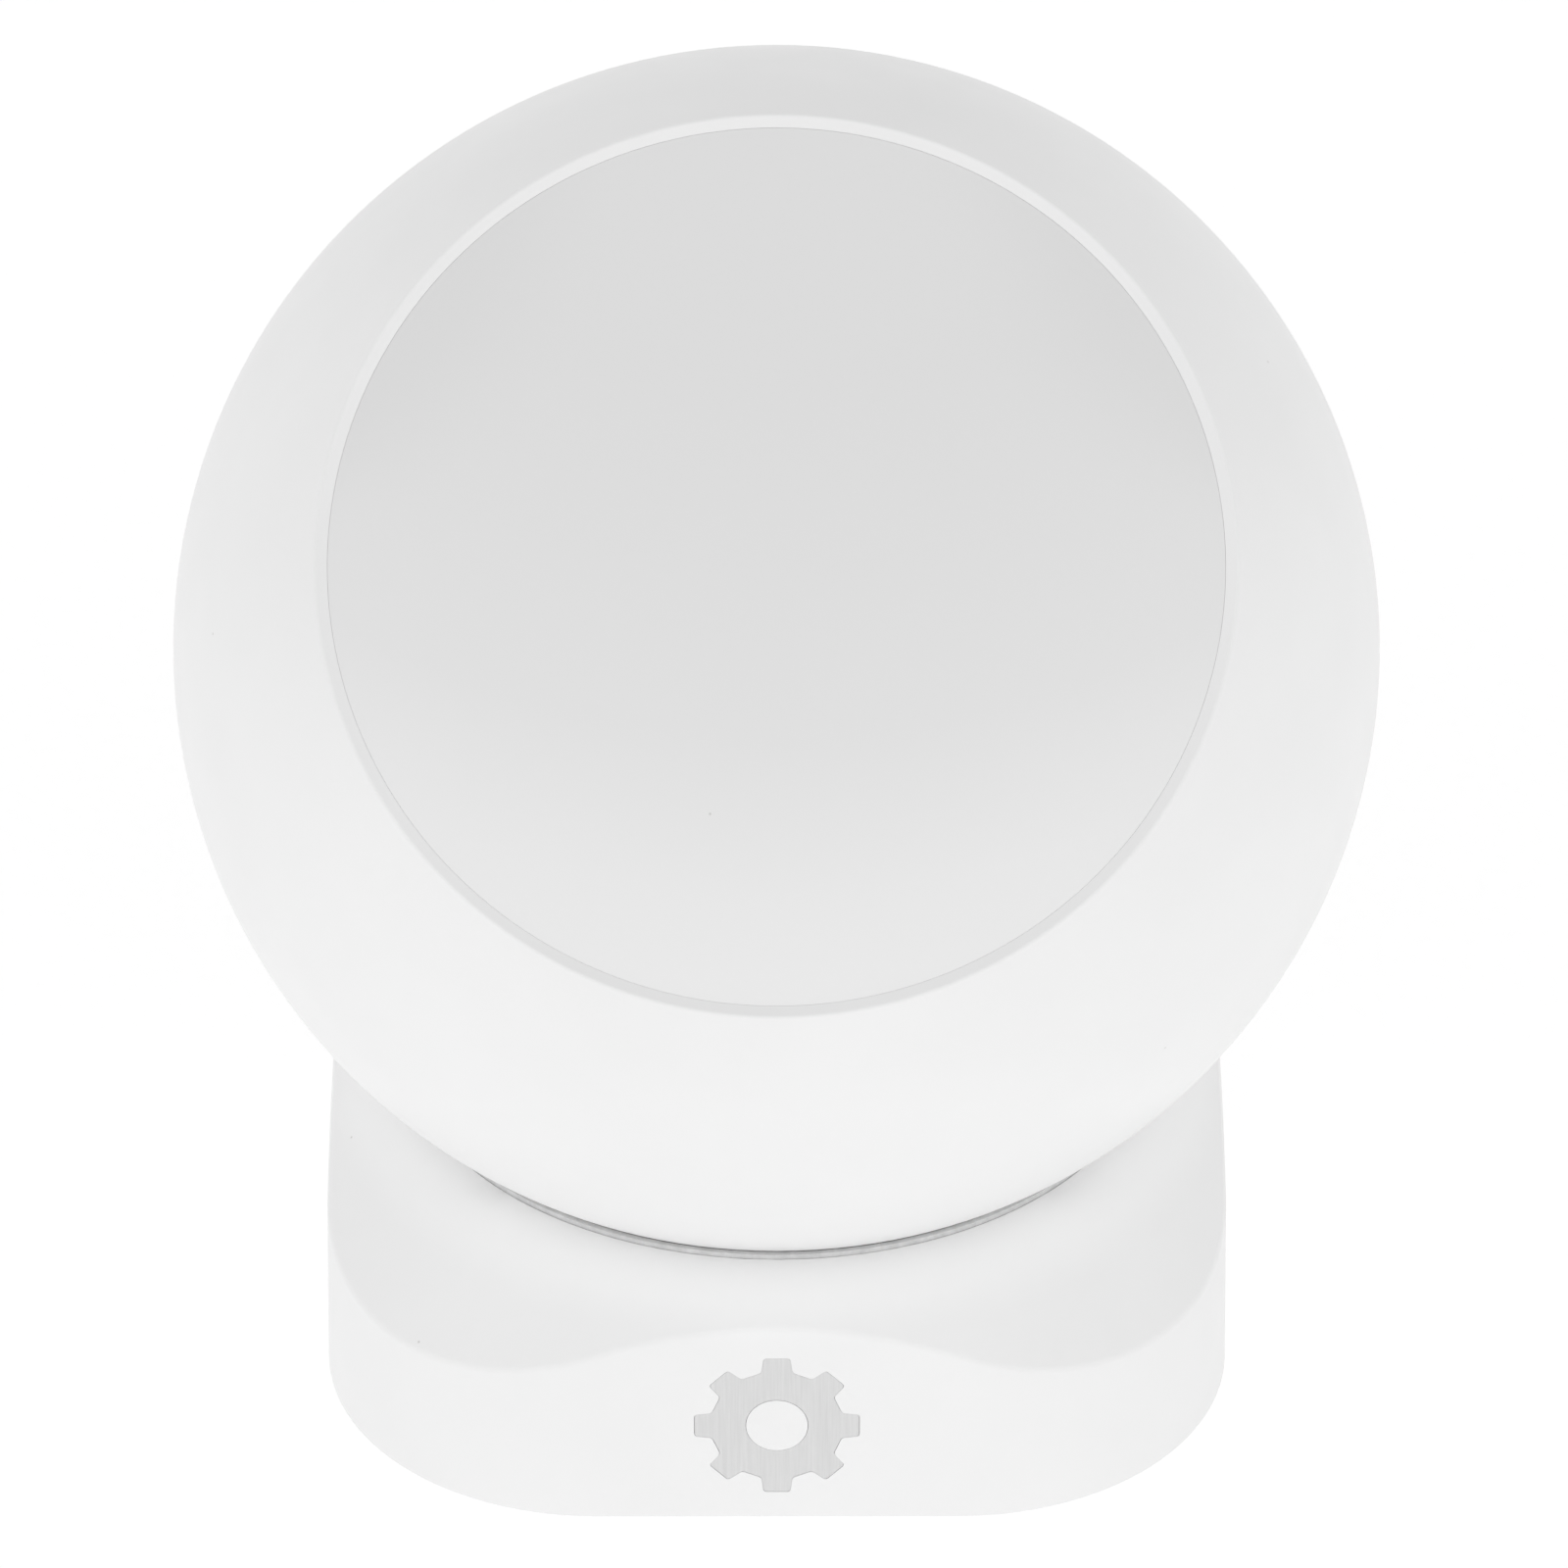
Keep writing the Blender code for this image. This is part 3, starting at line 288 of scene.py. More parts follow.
class Look:
    """A material's node tree, with short calls for the nodes that every material here uses."""

    def __init__(self, name, roughness, metallic=0.0, specular=0.5):
        self.material = bpy.data.materials.new(name)
        self.material.use_nodes = True
        self.tree = self.material.node_tree
        self.shader = self.tree.nodes["Principled BSDF"]
        self.shader.inputs["Roughness"].default_value = roughness
        self.shader.inputs["Metallic"].default_value = metallic
        self.shader.inputs["IOR"].default_value = PLASTIC_IOR
        self.shader.inputs["Specular IOR Level"].default_value = specular
        self.place = self.add("ShaderNodeTexCoord").outputs["Object"]

    def add(self, kind, **settings):
        node = self.tree.nodes.new(kind)
        for key, value in settings.items():
            setattr(node, key, value)
        return node

    def link(self, output, target):
        self.tree.links.new(output, target)

    def math(self, operation, one, two=0.0):
        node = self.add("ShaderNodeMath", operation=operation)
        for i, value in enumerate((one, two)):
            if isinstance(value, (int, float)):
                node.inputs[i].default_value = value
            else:
                self.link(value, node.inputs[i])
        return node.outputs[0]

    def mapped(self, scale=(1.0, 1.0, 1.0), rotation=(0.0, 0.0, 0.0)):
        node = self.add("ShaderNodeMapping")
        node.inputs["Scale"].default_value = scale
        node.inputs["Rotation"].default_value = rotation
        self.link(self.place, node.inputs["Vector"])
        return node.outputs["Vector"]

    def noise(self, scale, detail=2.0, roughness=0.5, vector=None):
        node = self.add("ShaderNodeTexNoise")
        node.inputs["Scale"].default_value = scale
        node.inputs["Detail"].default_value = detail
        node.inputs["Roughness"].default_value = roughness
        self.link(self.place if vector is None else vector, node.inputs["Vector"])
        return node.outputs["Fac"]

    def cells(self, scale):
        """Distance to the nearest of many scattered points."""
        node = self.add("ShaderNodeTexVoronoi")
        node.inputs["Scale"].default_value = scale
        self.link(self.place, node.inputs["Vector"])
        return node.outputs["Distance"]

    def ranged(self, value, low, high, to_low, to_high, smooth=False):
        node = self.add("ShaderNodeMapRange", interpolation_type="SMOOTHSTEP" if smooth else "LINEAR")
        self.link(value, node.inputs["Value"])
        for key, number in (("From Min", low), ("From Max", high), ("To Min", to_low), ("To Max", to_high)):
            node.inputs[key].default_value = number
        return node.outputs["Result"]

    def ramp(self, value, *stops):
        node = self.add("ShaderNodeValToRGB")
        ramp = node.color_ramp
        while len(ramp.elements) < len(stops):
            ramp.elements.new(0.5)
        for element, (position, colour) in zip(ramp.elements, stops):
            element.position = position
            element.color = (*colour, 1.0)
        self.link(value, node.inputs["Fac"])
        return node.outputs["Color"]

    def mix(self, factor, one, two):
        node = self.add("ShaderNodeMix", data_type="RGBA")
        for key, value in ((0, factor), (6, one), (7, two)):
            if isinstance(value, (int, float)):
                node.inputs[key].default_value = value
            elif isinstance(value, tuple):
                node.inputs[key].default_value = (*value, 1.0)
            else:
                self.link(value, node.inputs[key])
        return node.outputs[2]

    def bump(self, height, strength, distance, under=None):
        node = self.add("ShaderNodeBump")
        node.inputs["Strength"].default_value = strength
        node.inputs["Distance"].default_value = distance
        self.link(height, node.inputs["Height"])
        if under is not None:
            self.link(under, node.inputs["Normal"])
        return node.outputs["Normal"]

    def finish(self, colour=None, roughness=None, normal=None, **sockets):
        for key, output in (("Base Color", colour), ("Roughness", roughness), ("Normal", normal)):
            if output is not None:
                self.link(output, self.shader.inputs[key])
        for key, value in sockets.items():
            self.shader.inputs[key.replace("_", " ")].default_value = value
        return self.material


def shade(grey, tint=(1.0, 1.0, 1.0)):
    return tuple(grey * channel for channel in tint)


def dusted(look, colour, amount=1.0):
    """Sparse dust specks, a tenth of a millimetre across, over a colour."""
    near = look.ranged(look.cells(230.0), 0.010, 0.034, 1.0, 0.0)
    chosen = look.math("GREATER_THAN", look.noise(90.0, 0.0), 0.56)
    speck = look.math("MULTIPLY", look.math("MULTIPLY", near, chosen), 0.55 * amount)
    return look.mix(speck, colour, (0.42, 0.41, 0.39))


def moulded(name, grey, tint=(1.0, 1.0, 1.0), roughness=0.42, grain=1.0, dust=1.0, rim=None):
    """Moulded plastic: fine spark-erosion grain, slow flow marks, and gloss that varies from patch to patch.

    With a rim grey, the plastic is painted paler within a few millimetres of the ball: painted light where the ball
    shades it."""
    look = Look(name, roughness)
    slow = look.noise(55.0, 3.0, 0.55)
    drift = look.ranged(slow, 0.3, 0.7, 0.0, 1.0)
    colour = look.mix(drift, shade(grey * 0.988, tint), shade(grey * 1.010, tint))
    if rim:
        # painted light: near the ball the colour turns to the rim grey, lifting the ball's shade on the base
        reach = look.add("ShaderNodeVectorMath", operation="DISTANCE")
        look.link(look.place, reach.inputs[0])
        reach.inputs[1].default_value = (0.0, 0.0, BALL_Z)
        near, far = BALL_R + 0.0025, BALL_R + 0.0085
        painted_light_share = look.ranged(reach.outputs["Value"], near, far, 1.0, 0.0, smooth=True)
        colour = look.mix(painted_light_share, colour, shade(rim))
    if dust:
        colour = dusted(look, colour, dust)
    patches = look.noise(160.0, 4.0, 0.6)
    rough = look.ranged(patches, 0.25, 0.75, roughness - 0.06, roughness + 0.07)
    fine = look.noise(6500.0, 2.0, 0.6)
    skin = look.bump(fine, 0.30 * grain, 0.000012)
    waves = look.bump(look.noise(70.0, 1.0), 0.12, 0.00010, skin)
    return look.finish(colour, rough, waves)


def diffuser(name):
    """White light diffuser, a shade greyer than the shells, with painted shade towards its top and upper shoulders
    and painted light towards its bottom.
    """
    look = Look(name, 0.36)
    spot = look.add("ShaderNodeMapping", vector_type="TEXTURE")
    spot.inputs["Location"].default_value = (0.0, 0.0, BALL_Z)
    spot.inputs["Rotation"].default_value = (FACE_TILT, 0.0, 0.0)
    spot.inputs["Scale"].default_value = (DISC_R, DISC_R, DISC_R)
    look.link(look.place, spot.inputs["Vector"])
    axes = look.add("ShaderNodeSeparateXYZ")
    look.link(spot.outputs["Vector"], axes.inputs["Vector"])
    across, up = axes.outputs["X"], axes.outputs["Y"]
    wide = look.math("MULTIPLY", across, across)
    # painted shade and light: darker towards the top, paler towards the bottom and the sides
    low = look.math("SUBTRACT", look.math("MULTIPLY", wide, 0.28), up)
    painted_light_fade = look.ranged(low, -1.0, 1.0, 0.0, 1.0)
    colour = look.ramp(painted_light_fade, *[(stop, shade(grey)) for stop, grey in zip(DISC_PAINTED_LIGHT_STOPS, DISC_PAINTED_LIGHT_GREYS)])
    # painted shade: the upper shoulders are painted darker still
    painted_shade_shoulder = look.ranged(look.math("MULTIPLY", wide, up), 0.08, 0.34, 0.0, 0.5, smooth=True)
    colour = look.mix(painted_shade_shoulder, colour, shade(DISC_PAINTED_LIGHT_GREYS[0] * 0.93))
    cloud = look.ranged(look.noise(60.0, 2.0), 0.35, 0.65, 0.0, 0.5)
    colour = look.mix(look.math("MULTIPLY", cloud, 0.05), colour, shade(0.70))
    colour = dusted(look, colour, 0.8)
    rough = look.ranged(look.noise(220.0, 3.0, 0.6), 0.25, 0.75, 0.30, 0.42)
    skin = look.bump(look.noise(5200.0, 2.0, 0.6), 0.20, 0.000010)
    return look.finish(colour, rough, skin)


def rubber(name, grey, roughness=0.78):
    look = Look(name, roughness, specular=0.35)
    dusty = look.noise(900.0, 4.0, 0.65)
    colour = look.mix(look.ranged(dusty, 0.35, 0.75, 0.0, 1.0), shade(grey * 0.90), shade(grey * 1.12))
    rough = look.ranged(look.noise(300.0, 2.0), 0.3, 0.7, roughness - 0.07, roughness + 0.08)
    skin = look.bump(look.noise(4200.0, 3.0, 0.7), 0.45, 0.00002)
    return look.finish(colour, rough, skin)


def hatched(name, grey):
    """Printed inlay: fine upright strokes in two close greys."""
    look = Look(name, 0.40)
    strokes = look.noise(1.0, 2.0, 0.6, look.mapped((5200.0, 5200.0, 160.0)))
    colour = look.mix(look.ranged(strokes, 0.30, 0.70, 0.0, 1.0), shade(grey * 0.955), shade(grey * 1.045))
    colour = dusted(look, colour, 0.5)
    rough = look.ranged(strokes, 0.3, 0.7, 0.34, 0.48)
    skin = look.bump(strokes, 0.25, 0.00001)
    return look.finish(colour, rough, skin)


def metal(name, colour, roughness, stretch=(1.0, 1.0, 1.0)):
    """Plated or turned metal: tool marks drawn out along one direction, and a dull bloom here and there."""
    look = Look(name, roughness, 1.0)
    marks = look.noise(1.0, 3.0, 0.6, look.mapped(tuple(2600.0 * s for s in stretch)))
    bloom = look.noise(420.0, 3.0, 0.6)
    dark = tuple(c * 0.86 for c in colour)
    shown = look.mix(look.ranged(bloom, 0.35, 0.75, 0.0, 1.0), colour, dark)
    rough = look.ranged(marks, 0.25, 0.75, roughness - 0.08, roughness + 0.12)
    skin = look.bump(marks, 0.30, 0.00001)
    return look.finish(shown, rough, skin)


def board(name):
    """Circuit board: solder mask over copper tracks, with tinned pads."""
    look = Look(name, 0.32)
    tracks = look.add("ShaderNodeTexBrick", offset=0.37, offset_frequency=3, squash=0.6, squash_frequency=2)
    look.link(look.mapped(rotation=(-FACE_TILT, 0.0, 0.0)), tracks.inputs["Vector"])
    settings = {
        "Scale": 420.0,
        "Mortar Size": 0.035,
        "Mortar Smooth": 0.1,
        "Bias": 0.0,
        "Brick Width": 0.9,
        "Row Height": 0.33,
    }
    for key, value in settings.items():
        tracks.inputs[key].default_value = value
    copper = tracks.outputs["Fac"]
    weave = look.ranged(look.noise(2400.0, 2.0), 0.3, 0.7, 0.0, 1.0)
    ground = look.mix(weave, (0.014, 0.115, 0.060), (0.020, 0.150, 0.080))
    colour = look.mix(copper, ground, (0.045, 0.240, 0.120))
    pad = look.ranged(look.cells(560.0), 0.16, 0.20, 1.0, 0.0)
    colour = look.mix(pad, colour, (0.62, 0.62, 0.60))
    rough = look.ranged(pad, 0.0, 1.0, 0.30, 0.45)
    skin = look.bump(look.math("ADD", copper, pad), 0.5, 0.00003)
    return look.finish(colour, rough, skin)


def lamps(name):
    """Display module: a square grid of pale lamps on black."""
    look = Look(name, 0.45)
    spot = look.mapped(rotation=(-FACE_TILT, 0.0, 0.0))
    axes = look.add("ShaderNodeSeparateXYZ")
    look.link(spot, axes.inputs["Vector"])
    pitch = 0.00475
    parts = []
    for axis in ("X", "Y"):
        cell = look.math("FRACT", look.math("DIVIDE", axes.outputs[axis], pitch))
        offset = look.math("SUBTRACT", cell, 0.5)
        parts.append(look.math("MULTIPLY", offset, offset))
    near = look.math("SQRT", look.math("ADD", parts[0], parts[1]))
    lamp = look.ranged(near, 0.30, 0.34, 1.0, 0.0)
    grain = look.ranged(look.noise(1500.0, 3.0), 0.3, 0.7, 0.0, 1.0)
    ground = look.mix(grain, (0.012, 0.012, 0.014), (0.022, 0.022, 0.025))
    colour = look.mix(lamp, ground, (0.70, 0.69, 0.62))
    rough = look.ranged(lamp, 0.0, 1.0, 0.50, 0.25)
    return look.finish(colour, rough, look.bump(lamp, 0.6, 0.0002))


def foil(name):
    look = Look(name, 0.40, 0.65)
    creases = look.noise(260.0, 5.0, 0.65)
    colour = look.mix(look.ranged(creases, 0.3, 0.7, 0.0, 1.0), (0.48, 0.50, 0.53), (0.62, 0.64, 0.67))
    rough = look.ranged(look.noise(700.0, 2.0), 0.3, 0.7, 0.32, 0.50)
    return look.finish(colour, rough, look.bump(creases, 0.5, 0.00012))


def foam(name):
    look = Look(name, 0.95, specular=0.2)
    pores = look.cells(3200.0)
    # painted shade: each pore is painted darker towards its middle, where it is deepest
    depth = look.ranged(pores, 0.1, 0.6, 0.0, 1.0)
    colour = look.mix(depth, shade(0.018), shade(0.060))
    return look.finish(colour, None, look.bump(pores, 0.7, 0.00008))


shell_look = moulded("shell_white", SHELL_GREY)
# The base's shell carries painted light: paler where the ball shades its top.
painted_light_base_look = moulded("base_white_painted_light", SHELL_GREY, rim=PAINTED_LIGHT_GREY)
looks = {
    "shell_white": shell_look,
    "face_white": diffuser("face_white"),
    "seal_grey": rubber("seal_grey", 0.71, 0.72),
    "emblem_grey": hatched("emblem_grey", 0.69),
    "underside_grey": moulded("underside_grey", 0.62, roughness=0.55, grain=2.0),
    "foot_rubber": rubber("foot_rubber", 0.22),
    "button_grey": moulded("button_grey", 0.70, roughness=0.36, dust=0.5),
    "nylon": moulded("nylon", 0.74, (1.0, 0.99, 0.95), 0.34, 0.6, 0.0),
    "dark_plastic": moulded("dark_plastic", 0.055, (1.0, 1.02, 1.08), 0.48, 1.6, 0.0),
    "servo_blue": moulded("servo_blue", 0.11, (0.28, 0.48, 1.0), 0.26, 0.5, 0.0),
    "steel": metal("steel", (0.56, 0.57, 0.58), 0.32, (1.0, 0.12, 1.0)),
    "brass": metal("brass", (0.72, 0.53, 0.24), 0.28, (1.0, 1.0, 0.1)),
    "circuit_board": board("circuit_board"),
    "led_lamps": lamps("led_lamps"),
    "battery_foil": foil("battery_foil"),
    "gasket_foam": foam("gasket_foam"),
}

# CAD nodes that keep their own shape, by the look they get.
KEPT = {
    "underside_grey": ["bottom_plate"],
    "nylon": ["thrust_washer", "pan_gear", "servo_horn"],
    "dark_plastic": ["neck_yoke", "head_frame", "battery_bracket", "power_switch", "speaker"],
    "servo_blue": ["tilt_servo"],
    "brass": ["drive_pinion", "pivot_bush"],
    "circuit_board": ["power_board", "led_board", "control_board"],
    "led_lamps": ["led_matrix"],
    "battery_foil": ["battery_cell"],
    "gasket_foam": ["face_gasket"],
}


# ---------------------------------------------------------------- base


def rounded_square(half, corner, flat_steps=10, corner_steps=28):
    """Points round a rounded square, counter-clockwise, the same number for any size."""
    points = []
    straight = half - corner
    for quarter in range(4):
        turn = Matrix.Rotation(quarter * math.pi / 2, 2)
        for step in range(flat_steps):
            points.append(turn @ Vector((half, straight * (2 * step / flat_steps - 1))))
        for step in range(corner_steps):
            angle = step / corner_steps * math.pi / 2
            spot = Vector((straight + corner * math.cos(angle), straight + corner * math.sin(angle)))
            points.append(turn @ spot)
    return points


def top_height(radius, wall=0.0):
    """Height of the base's top at a radius, or of its inner face when a wall is given."""
    if radius >= ROUND_START - wall * math.sqrt(0.5):
        return CONE_SUM - wall * math.sqrt(2.0) - radius
    drop = TOP_ROUND * math.sqrt(0.5)
    rise = math.sqrt((TOP_ROUND - wall) ** 2 - (radius - ROUND_START + drop) ** 2)
    return CONE_SUM - ROUND_START - drop + rise


def base_rings():
    """The shell's skin: up the drafted wall, over the eased crease, up the top, over the rim and down inside."""
    outline = rounded_square(BASE_HALF, BASE_CORNER)

    def square(inset, height):
        spots = rounded_square(BASE_HALF - inset, BASE_CORNER - inset)
        return [(p.x, p.y, height(p.length) if callable(height) else height) for p in spots]

    def round_ring(radius, height):
        return [(*(p.normalized() * radius), height) for p in outline]

    def between(inset, radius, share, wall=0.0):
        """A ring part of the way from the rounded square to a circle, on the top's surface."""
        spots = rounded_square(BASE_HALF - inset, BASE_CORNER - inset)
        ring = [p.lerp(p.normalized() * radius, share) for p in spots]
        return [(p.x, p.y, top_height(p.length, wall)) for p in ring]

    foot = 0.0002
    rings = []
    for step in range(6):
        angle = step / 5 * math.pi / 2
        rings.append(square(foot * (1 - math.sin(angle)), BASE_LIFT + foot * (1 - math.cos(angle))))
    top_inset = math.tan(BASE_DRAFT) * 0.018
    turn = CREASE_R * math.tan(math.radians(22.5))
    low = BASE_LIFT + foot
    for share in (0.25, 0.5, 0.75, 0.93):
        rings.append(square(top_inset * share, lambda r, s=share: low + (top_height(r) - 2 * turn - low) * s))
    for step in range(9):
        angle = step / 8 * math.pi / 4
        inset = CREASE_R * (1 - math.cos(angle))
        under = inset + turn - CREASE_R * math.sin(angle)
        rings.append(square(top_inset + inset, lambda r, d=under: top_height(r) - d))
    ease = 0.00012
    start = top_inset + turn * math.sqrt(0.5)
    for step in range(1, 15):
        rings.append(between(start, RIM_R + ease, (step / 15) ** 0.8))
    for step in range(7):
        angle = step / 6 * math.pi / 2
        drop = ease * (1 - math.cos(angle))
        rings.append(round_ring(RIM_R + ease * (1 - math.sin(angle)), top_height(RIM_R + ease) - drop))
    rings += [
        round_ring(RIM_R, GROOVE_TOP),
        round_ring(GROOVE_R, GROOVE_TOP),
        round_ring(GROOVE_R, top_height(GROOVE_R, BASE_WALL)),
        between(BASE_WALL, GROOVE_R, 0.66, BASE_WALL),
        between(BASE_WALL, GROOVE_R, 0.33, BASE_WALL),
        square(BASE_WALL, lambda r: top_height(r, BASE_WALL)),
        square(BASE_WALL, BASE_LIFT),
    ]
    return rings


EMBLEM_PLACE = Matrix.Translation((0.0, -BASE_HALF, EMBLEM_Z)) @ Matrix.Rotation(math.pi / 2 - BASE_DRAFT, 4, "X")
# The front wall leans back by its draft, so the inlay's face lies this far behind the base's widest plane.
EMBLEM_BACK = math.tan(BASE_DRAFT) * (EMBLEM_Z - BASE_LIFT)


HUB_R = 0.0026


def cog_outline(grow=0.0):
    """A plain cog with eight flat teeth, its corners eased."""
    teeth, tip, root = 8, 0.0069, 0.0055
    half_root, half_tip = 0.235, 0.160  # a tooth's half width, radians
    tooth = [
        (root, -half_root, 0.0004),
        (tip, -half_tip, 0.0003),
        (tip, half_tip, 0.0003),
        (root, half_root, 0.0004),
    ]
    points, radii = [], []
    for i in range(teeth):
        middle = i / teeth * math.tau + math.pi / 2
        for radius, angle, ease in tooth:
            reach = radius + grow
            points.append((reach * math.cos(middle + angle), reach * math.sin(middle + angle)))
            radii.append(ease)
    return rounded(points, radii, 4)


def emblem_inlay():
    back, face = -0.0005, -EMBLEM_BACK - 0.00002
    inlay = plug("emblem_cog", cog_outline(), back, face, EMBLEM_PLACE)
    cut(inlay, plug("hub", circle(HUB_R), -0.002, 0.002, EMBLEM_PLACE))
    return piece(cleaned(inlay), "base", "emblem_grey", looks["emblem_grey"], "emblem")


def base_body():
    shell = loft("base_body", base_rings(), closed=True)
    boss_r, boss_low, boss_top = 0.0025, 0.0029, 0.0146
    hole_r, hole_low, hole_top = 0.0012, 0.0019, 0.0129
    for side, depth in CORNERS.values():
        at = Matrix.Translation((side * SCREW_XY, depth * SCREW_XY, 0.0))
        join(shell, plug("boss", circle(boss_r, 32), boss_low, boss_top, at))
        cut(shell, plug("boss_hole", circle(hole_r, 24), hole_low, hole_top, at))
    opening = pill(0.0049, 0.0020, 0.0019)
    through = Matrix.Translation((USB_X, 0.0, PORT_Z)) @ TO_REAR
    cut(shell, plug("usb_opening", opening, *REAR_WALL, through))
    through = Matrix.Translation((BUTTON_X, 0.0, PORT_Z)) @ TO_REAR
    cut(shell, plug("button_opening", circle(BUTTON_R + GAP, 64), *REAR_WALL, through))
    pocket = plug("pocket", cog_outline(INLAY_MARGIN), -0.0006, 0.002, EMBLEM_PLACE)
    hub = plug("pocket_hub", circle(HUB_R - INLAY_MARGIN), -0.003, 0.004, EMBLEM_PLACE)
    cut(pocket, hub)
    cut(shell, pocket)
    return piece(cleaned(shell), "base", "shell_white", painted_light_base_look, "base_shell")


def seal():
    """The soft lip between the socket's rim and the ball."""
    top, low, bottom = 0.02255, 0.0215, 0.0195
    flange_top = GROOVE_TOP - 0.0002
    inner = []
    for step in range(11):
        z = low + (top - low) * step / 10
        inner.append((math.sqrt(BALL_R**2 - (BALL_Z - z) ** 2) + LIP_GAP, z))
    outer, flange, under = RIM_R - SLIT, GROOVE_R - GAP, 0.0303
    points = [(outer, top), (outer, flange_top), (flange, flange_top), (flange, bottom), (under, bottom)] + inner
    radii = [0.00005, 0.0, 0.0002, 0.0002, 0.0002] + [0.0] * (len(inner) - 1) + [0.00004]
    ring = lathe("seal_lip", rounded(points, radii, 4), closed=True)
    return piece(ring, "base", "seal_grey", looks["seal_grey"], "socket_seal")


def feet():
    top, dish = 0.0011, 0.00025
    points = [(0.0, top), (FOOT_R, top), (FOOT_R, 0.0), (0.0036, 0.0), (0.0030, dish), (0.0, dish)]
    profile = rounded(points, (0.0, 0.0001, 0.00035, 0.0001, 0.0002, 0.0), 4)
    for corner, (side, depth) in CORNERS.items():
        place = Matrix.Translation((side * FOOT_XY, depth * FOOT_XY, 0.0))
        foot = lathe("foot_pad_" + corner, profile, 64, matrix=place)
        piece(foot, "base", "foot_rubber", looks["foot_rubber"], "foot_" + corner)


def usb_socket():
    """The drawn steel can of the socket, its rolled mouth, and the contact tongue inside."""
    place = Matrix.Translation((USB_X, 0.0, PORT_Z)) @ TO_REAR
    back, mouth, floor_y, sheet = 0.0303, 0.0376, 0.0318, 0.0003
    section = [(0.0, back), (0.0, mouth), (sheet, mouth), (sheet, floor_y)]
    rings = []
    for inset, z in rounded(section, (0.0003, 0.0001, 0.0001, 0.0), 4):
        rings.append([(x, y, z) for x, y in pill(0.00447 - inset, 0.00163 - inset, 0.00155 - inset)])
    socket = loft("usb_can", rings, matrix=place)
    leg_place = place @ Matrix.Translation((0.0, 0.0020, 0.0))
    join(socket, plug("usb_leg", pill(0.0036, 0.0006, 0.0001, 2), 0.0306, 0.0340, leg_place))
    piece(cleaned(socket), "base", "steel", looks["steel"], "usb_c_socket")
    tongue = plug("usb_tongue", pill(0.0033, 0.00035, 0.0002, 4), 0.0317, 0.0366, place)
    piece(tongue, "base", "dark_plastic", looks["dark_plastic"])
    for row, side in (("upper", 1), ("lower", -1)):
        bm = bmesh.new()
        pitch = 0.0005
        for i in range(12):
            x = (i - 5.5) * pitch
            bar = bmesh.ops.create_cube(bm, size=1.0)["verts"]
            bmesh.ops.scale(bm, vec=(0.00026, 0.00006, 0.0034), verts=bar)
            bmesh.ops.translate(bm, vec=(x, side * 0.00036, 0.0345), verts=bar)
        bmesh.ops.bevel(bm, geom=bm.edges[:], offset=0.00002, segments=1, affect="EDGES")
        contacts = object_from("usb_contacts_" + row, bm, place)
        piece(contacts, "base", "brass", looks["brass"])


def button():
    """A cap with a shallow dish for the fingertip."""
    front, collar, back, tip = 0.0387, 0.0358, 0.0348, 0.0333
    collar_r, stem_r, hollow = 0.0041, 0.0016, 0.00016
    dish = [(BUTTON_R * 0.70 * i / 8, front - hollow * math.cos(i / 8 * math.pi / 2)) for i in range(8)]
    dish[0] = (0.0, dish[0][1])
    rest = [(0.0025, front), (BUTTON_R, front), (BUTTON_R, collar), (collar_r, collar), (collar_r, back)]
    rest += [(stem_r, back), (stem_r, tip), (0.0, tip)]
    radii = [0.0] * len(dish) + [0.0002, 0.0004, 0.0, 0.0001, 0.0001, 0.0, 0.0001, 0.0]
    place = Matrix.Translation((BUTTON_X, 0.0, PORT_Z)) @ TO_REAR
    cap = lathe("button_cap", rounded(dish + rest, radii, 5), 96, matrix=place)
    piece(cap, "power_button", "button_grey", looks["button_grey"], "power_button")


# ---------------------------------------------------------------- screws


def screw(name, node, body, head_r, head_h, shank_r, shank_l, place):
    """A pan head with a cross recess over a threaded shank."""
    crown = []
    for i in range(8):
        angle = i / 7 * math.pi / 2
        crown.append((head_r * math.sin(angle * 0.92), head_h * (0.55 + 0.45 * math.cos(angle))))
    crown[0] = (0.0, crown[0][1])
    profile = crown + [(head_r, head_h * 0.30), (head_r * 0.97, 0.0), (shank_r, 0.0)]
    pitch = 0.0008
    turns = max(2, int(shank_l * 0.8 / pitch))
    depth = -(shank_l - turns * pitch)
    for i in range(turns):
        profile += [(shank_r, depth), (shank_r * 0.74, depth - pitch / 2)]
        depth -= pitch
    profile += [(shank_r * 0.7, -shank_l + pitch * 0.02), (0.0, -shank_l)]
    body_mesh = lathe(name, profile, 48, matrix=place)
    arms = []
    for turned_by in (0.0, math.pi / 2):
        top, deep = head_h * 1.05, head_h * 0.30
        wide, narrow, half = head_r * 0.60, head_r * 0.26, head_r * 0.13
        rings = []
        for x, y, z in ((narrow, half * 0.8, deep), (wide, half, top)):
            rings.append([(x, y, z), (-x, y, z), (-x, -y, z), (x, -y, z)])
        arms.append(loft("arm", rings, matrix=place @ Matrix.Rotation(turned_by, 4, "Z")))
    cut(body_mesh, *arms)
    return piece(cleaned(body_mesh, 1e-6), body, "steel", looks["steel"], node, sharp=math.radians(28.0))


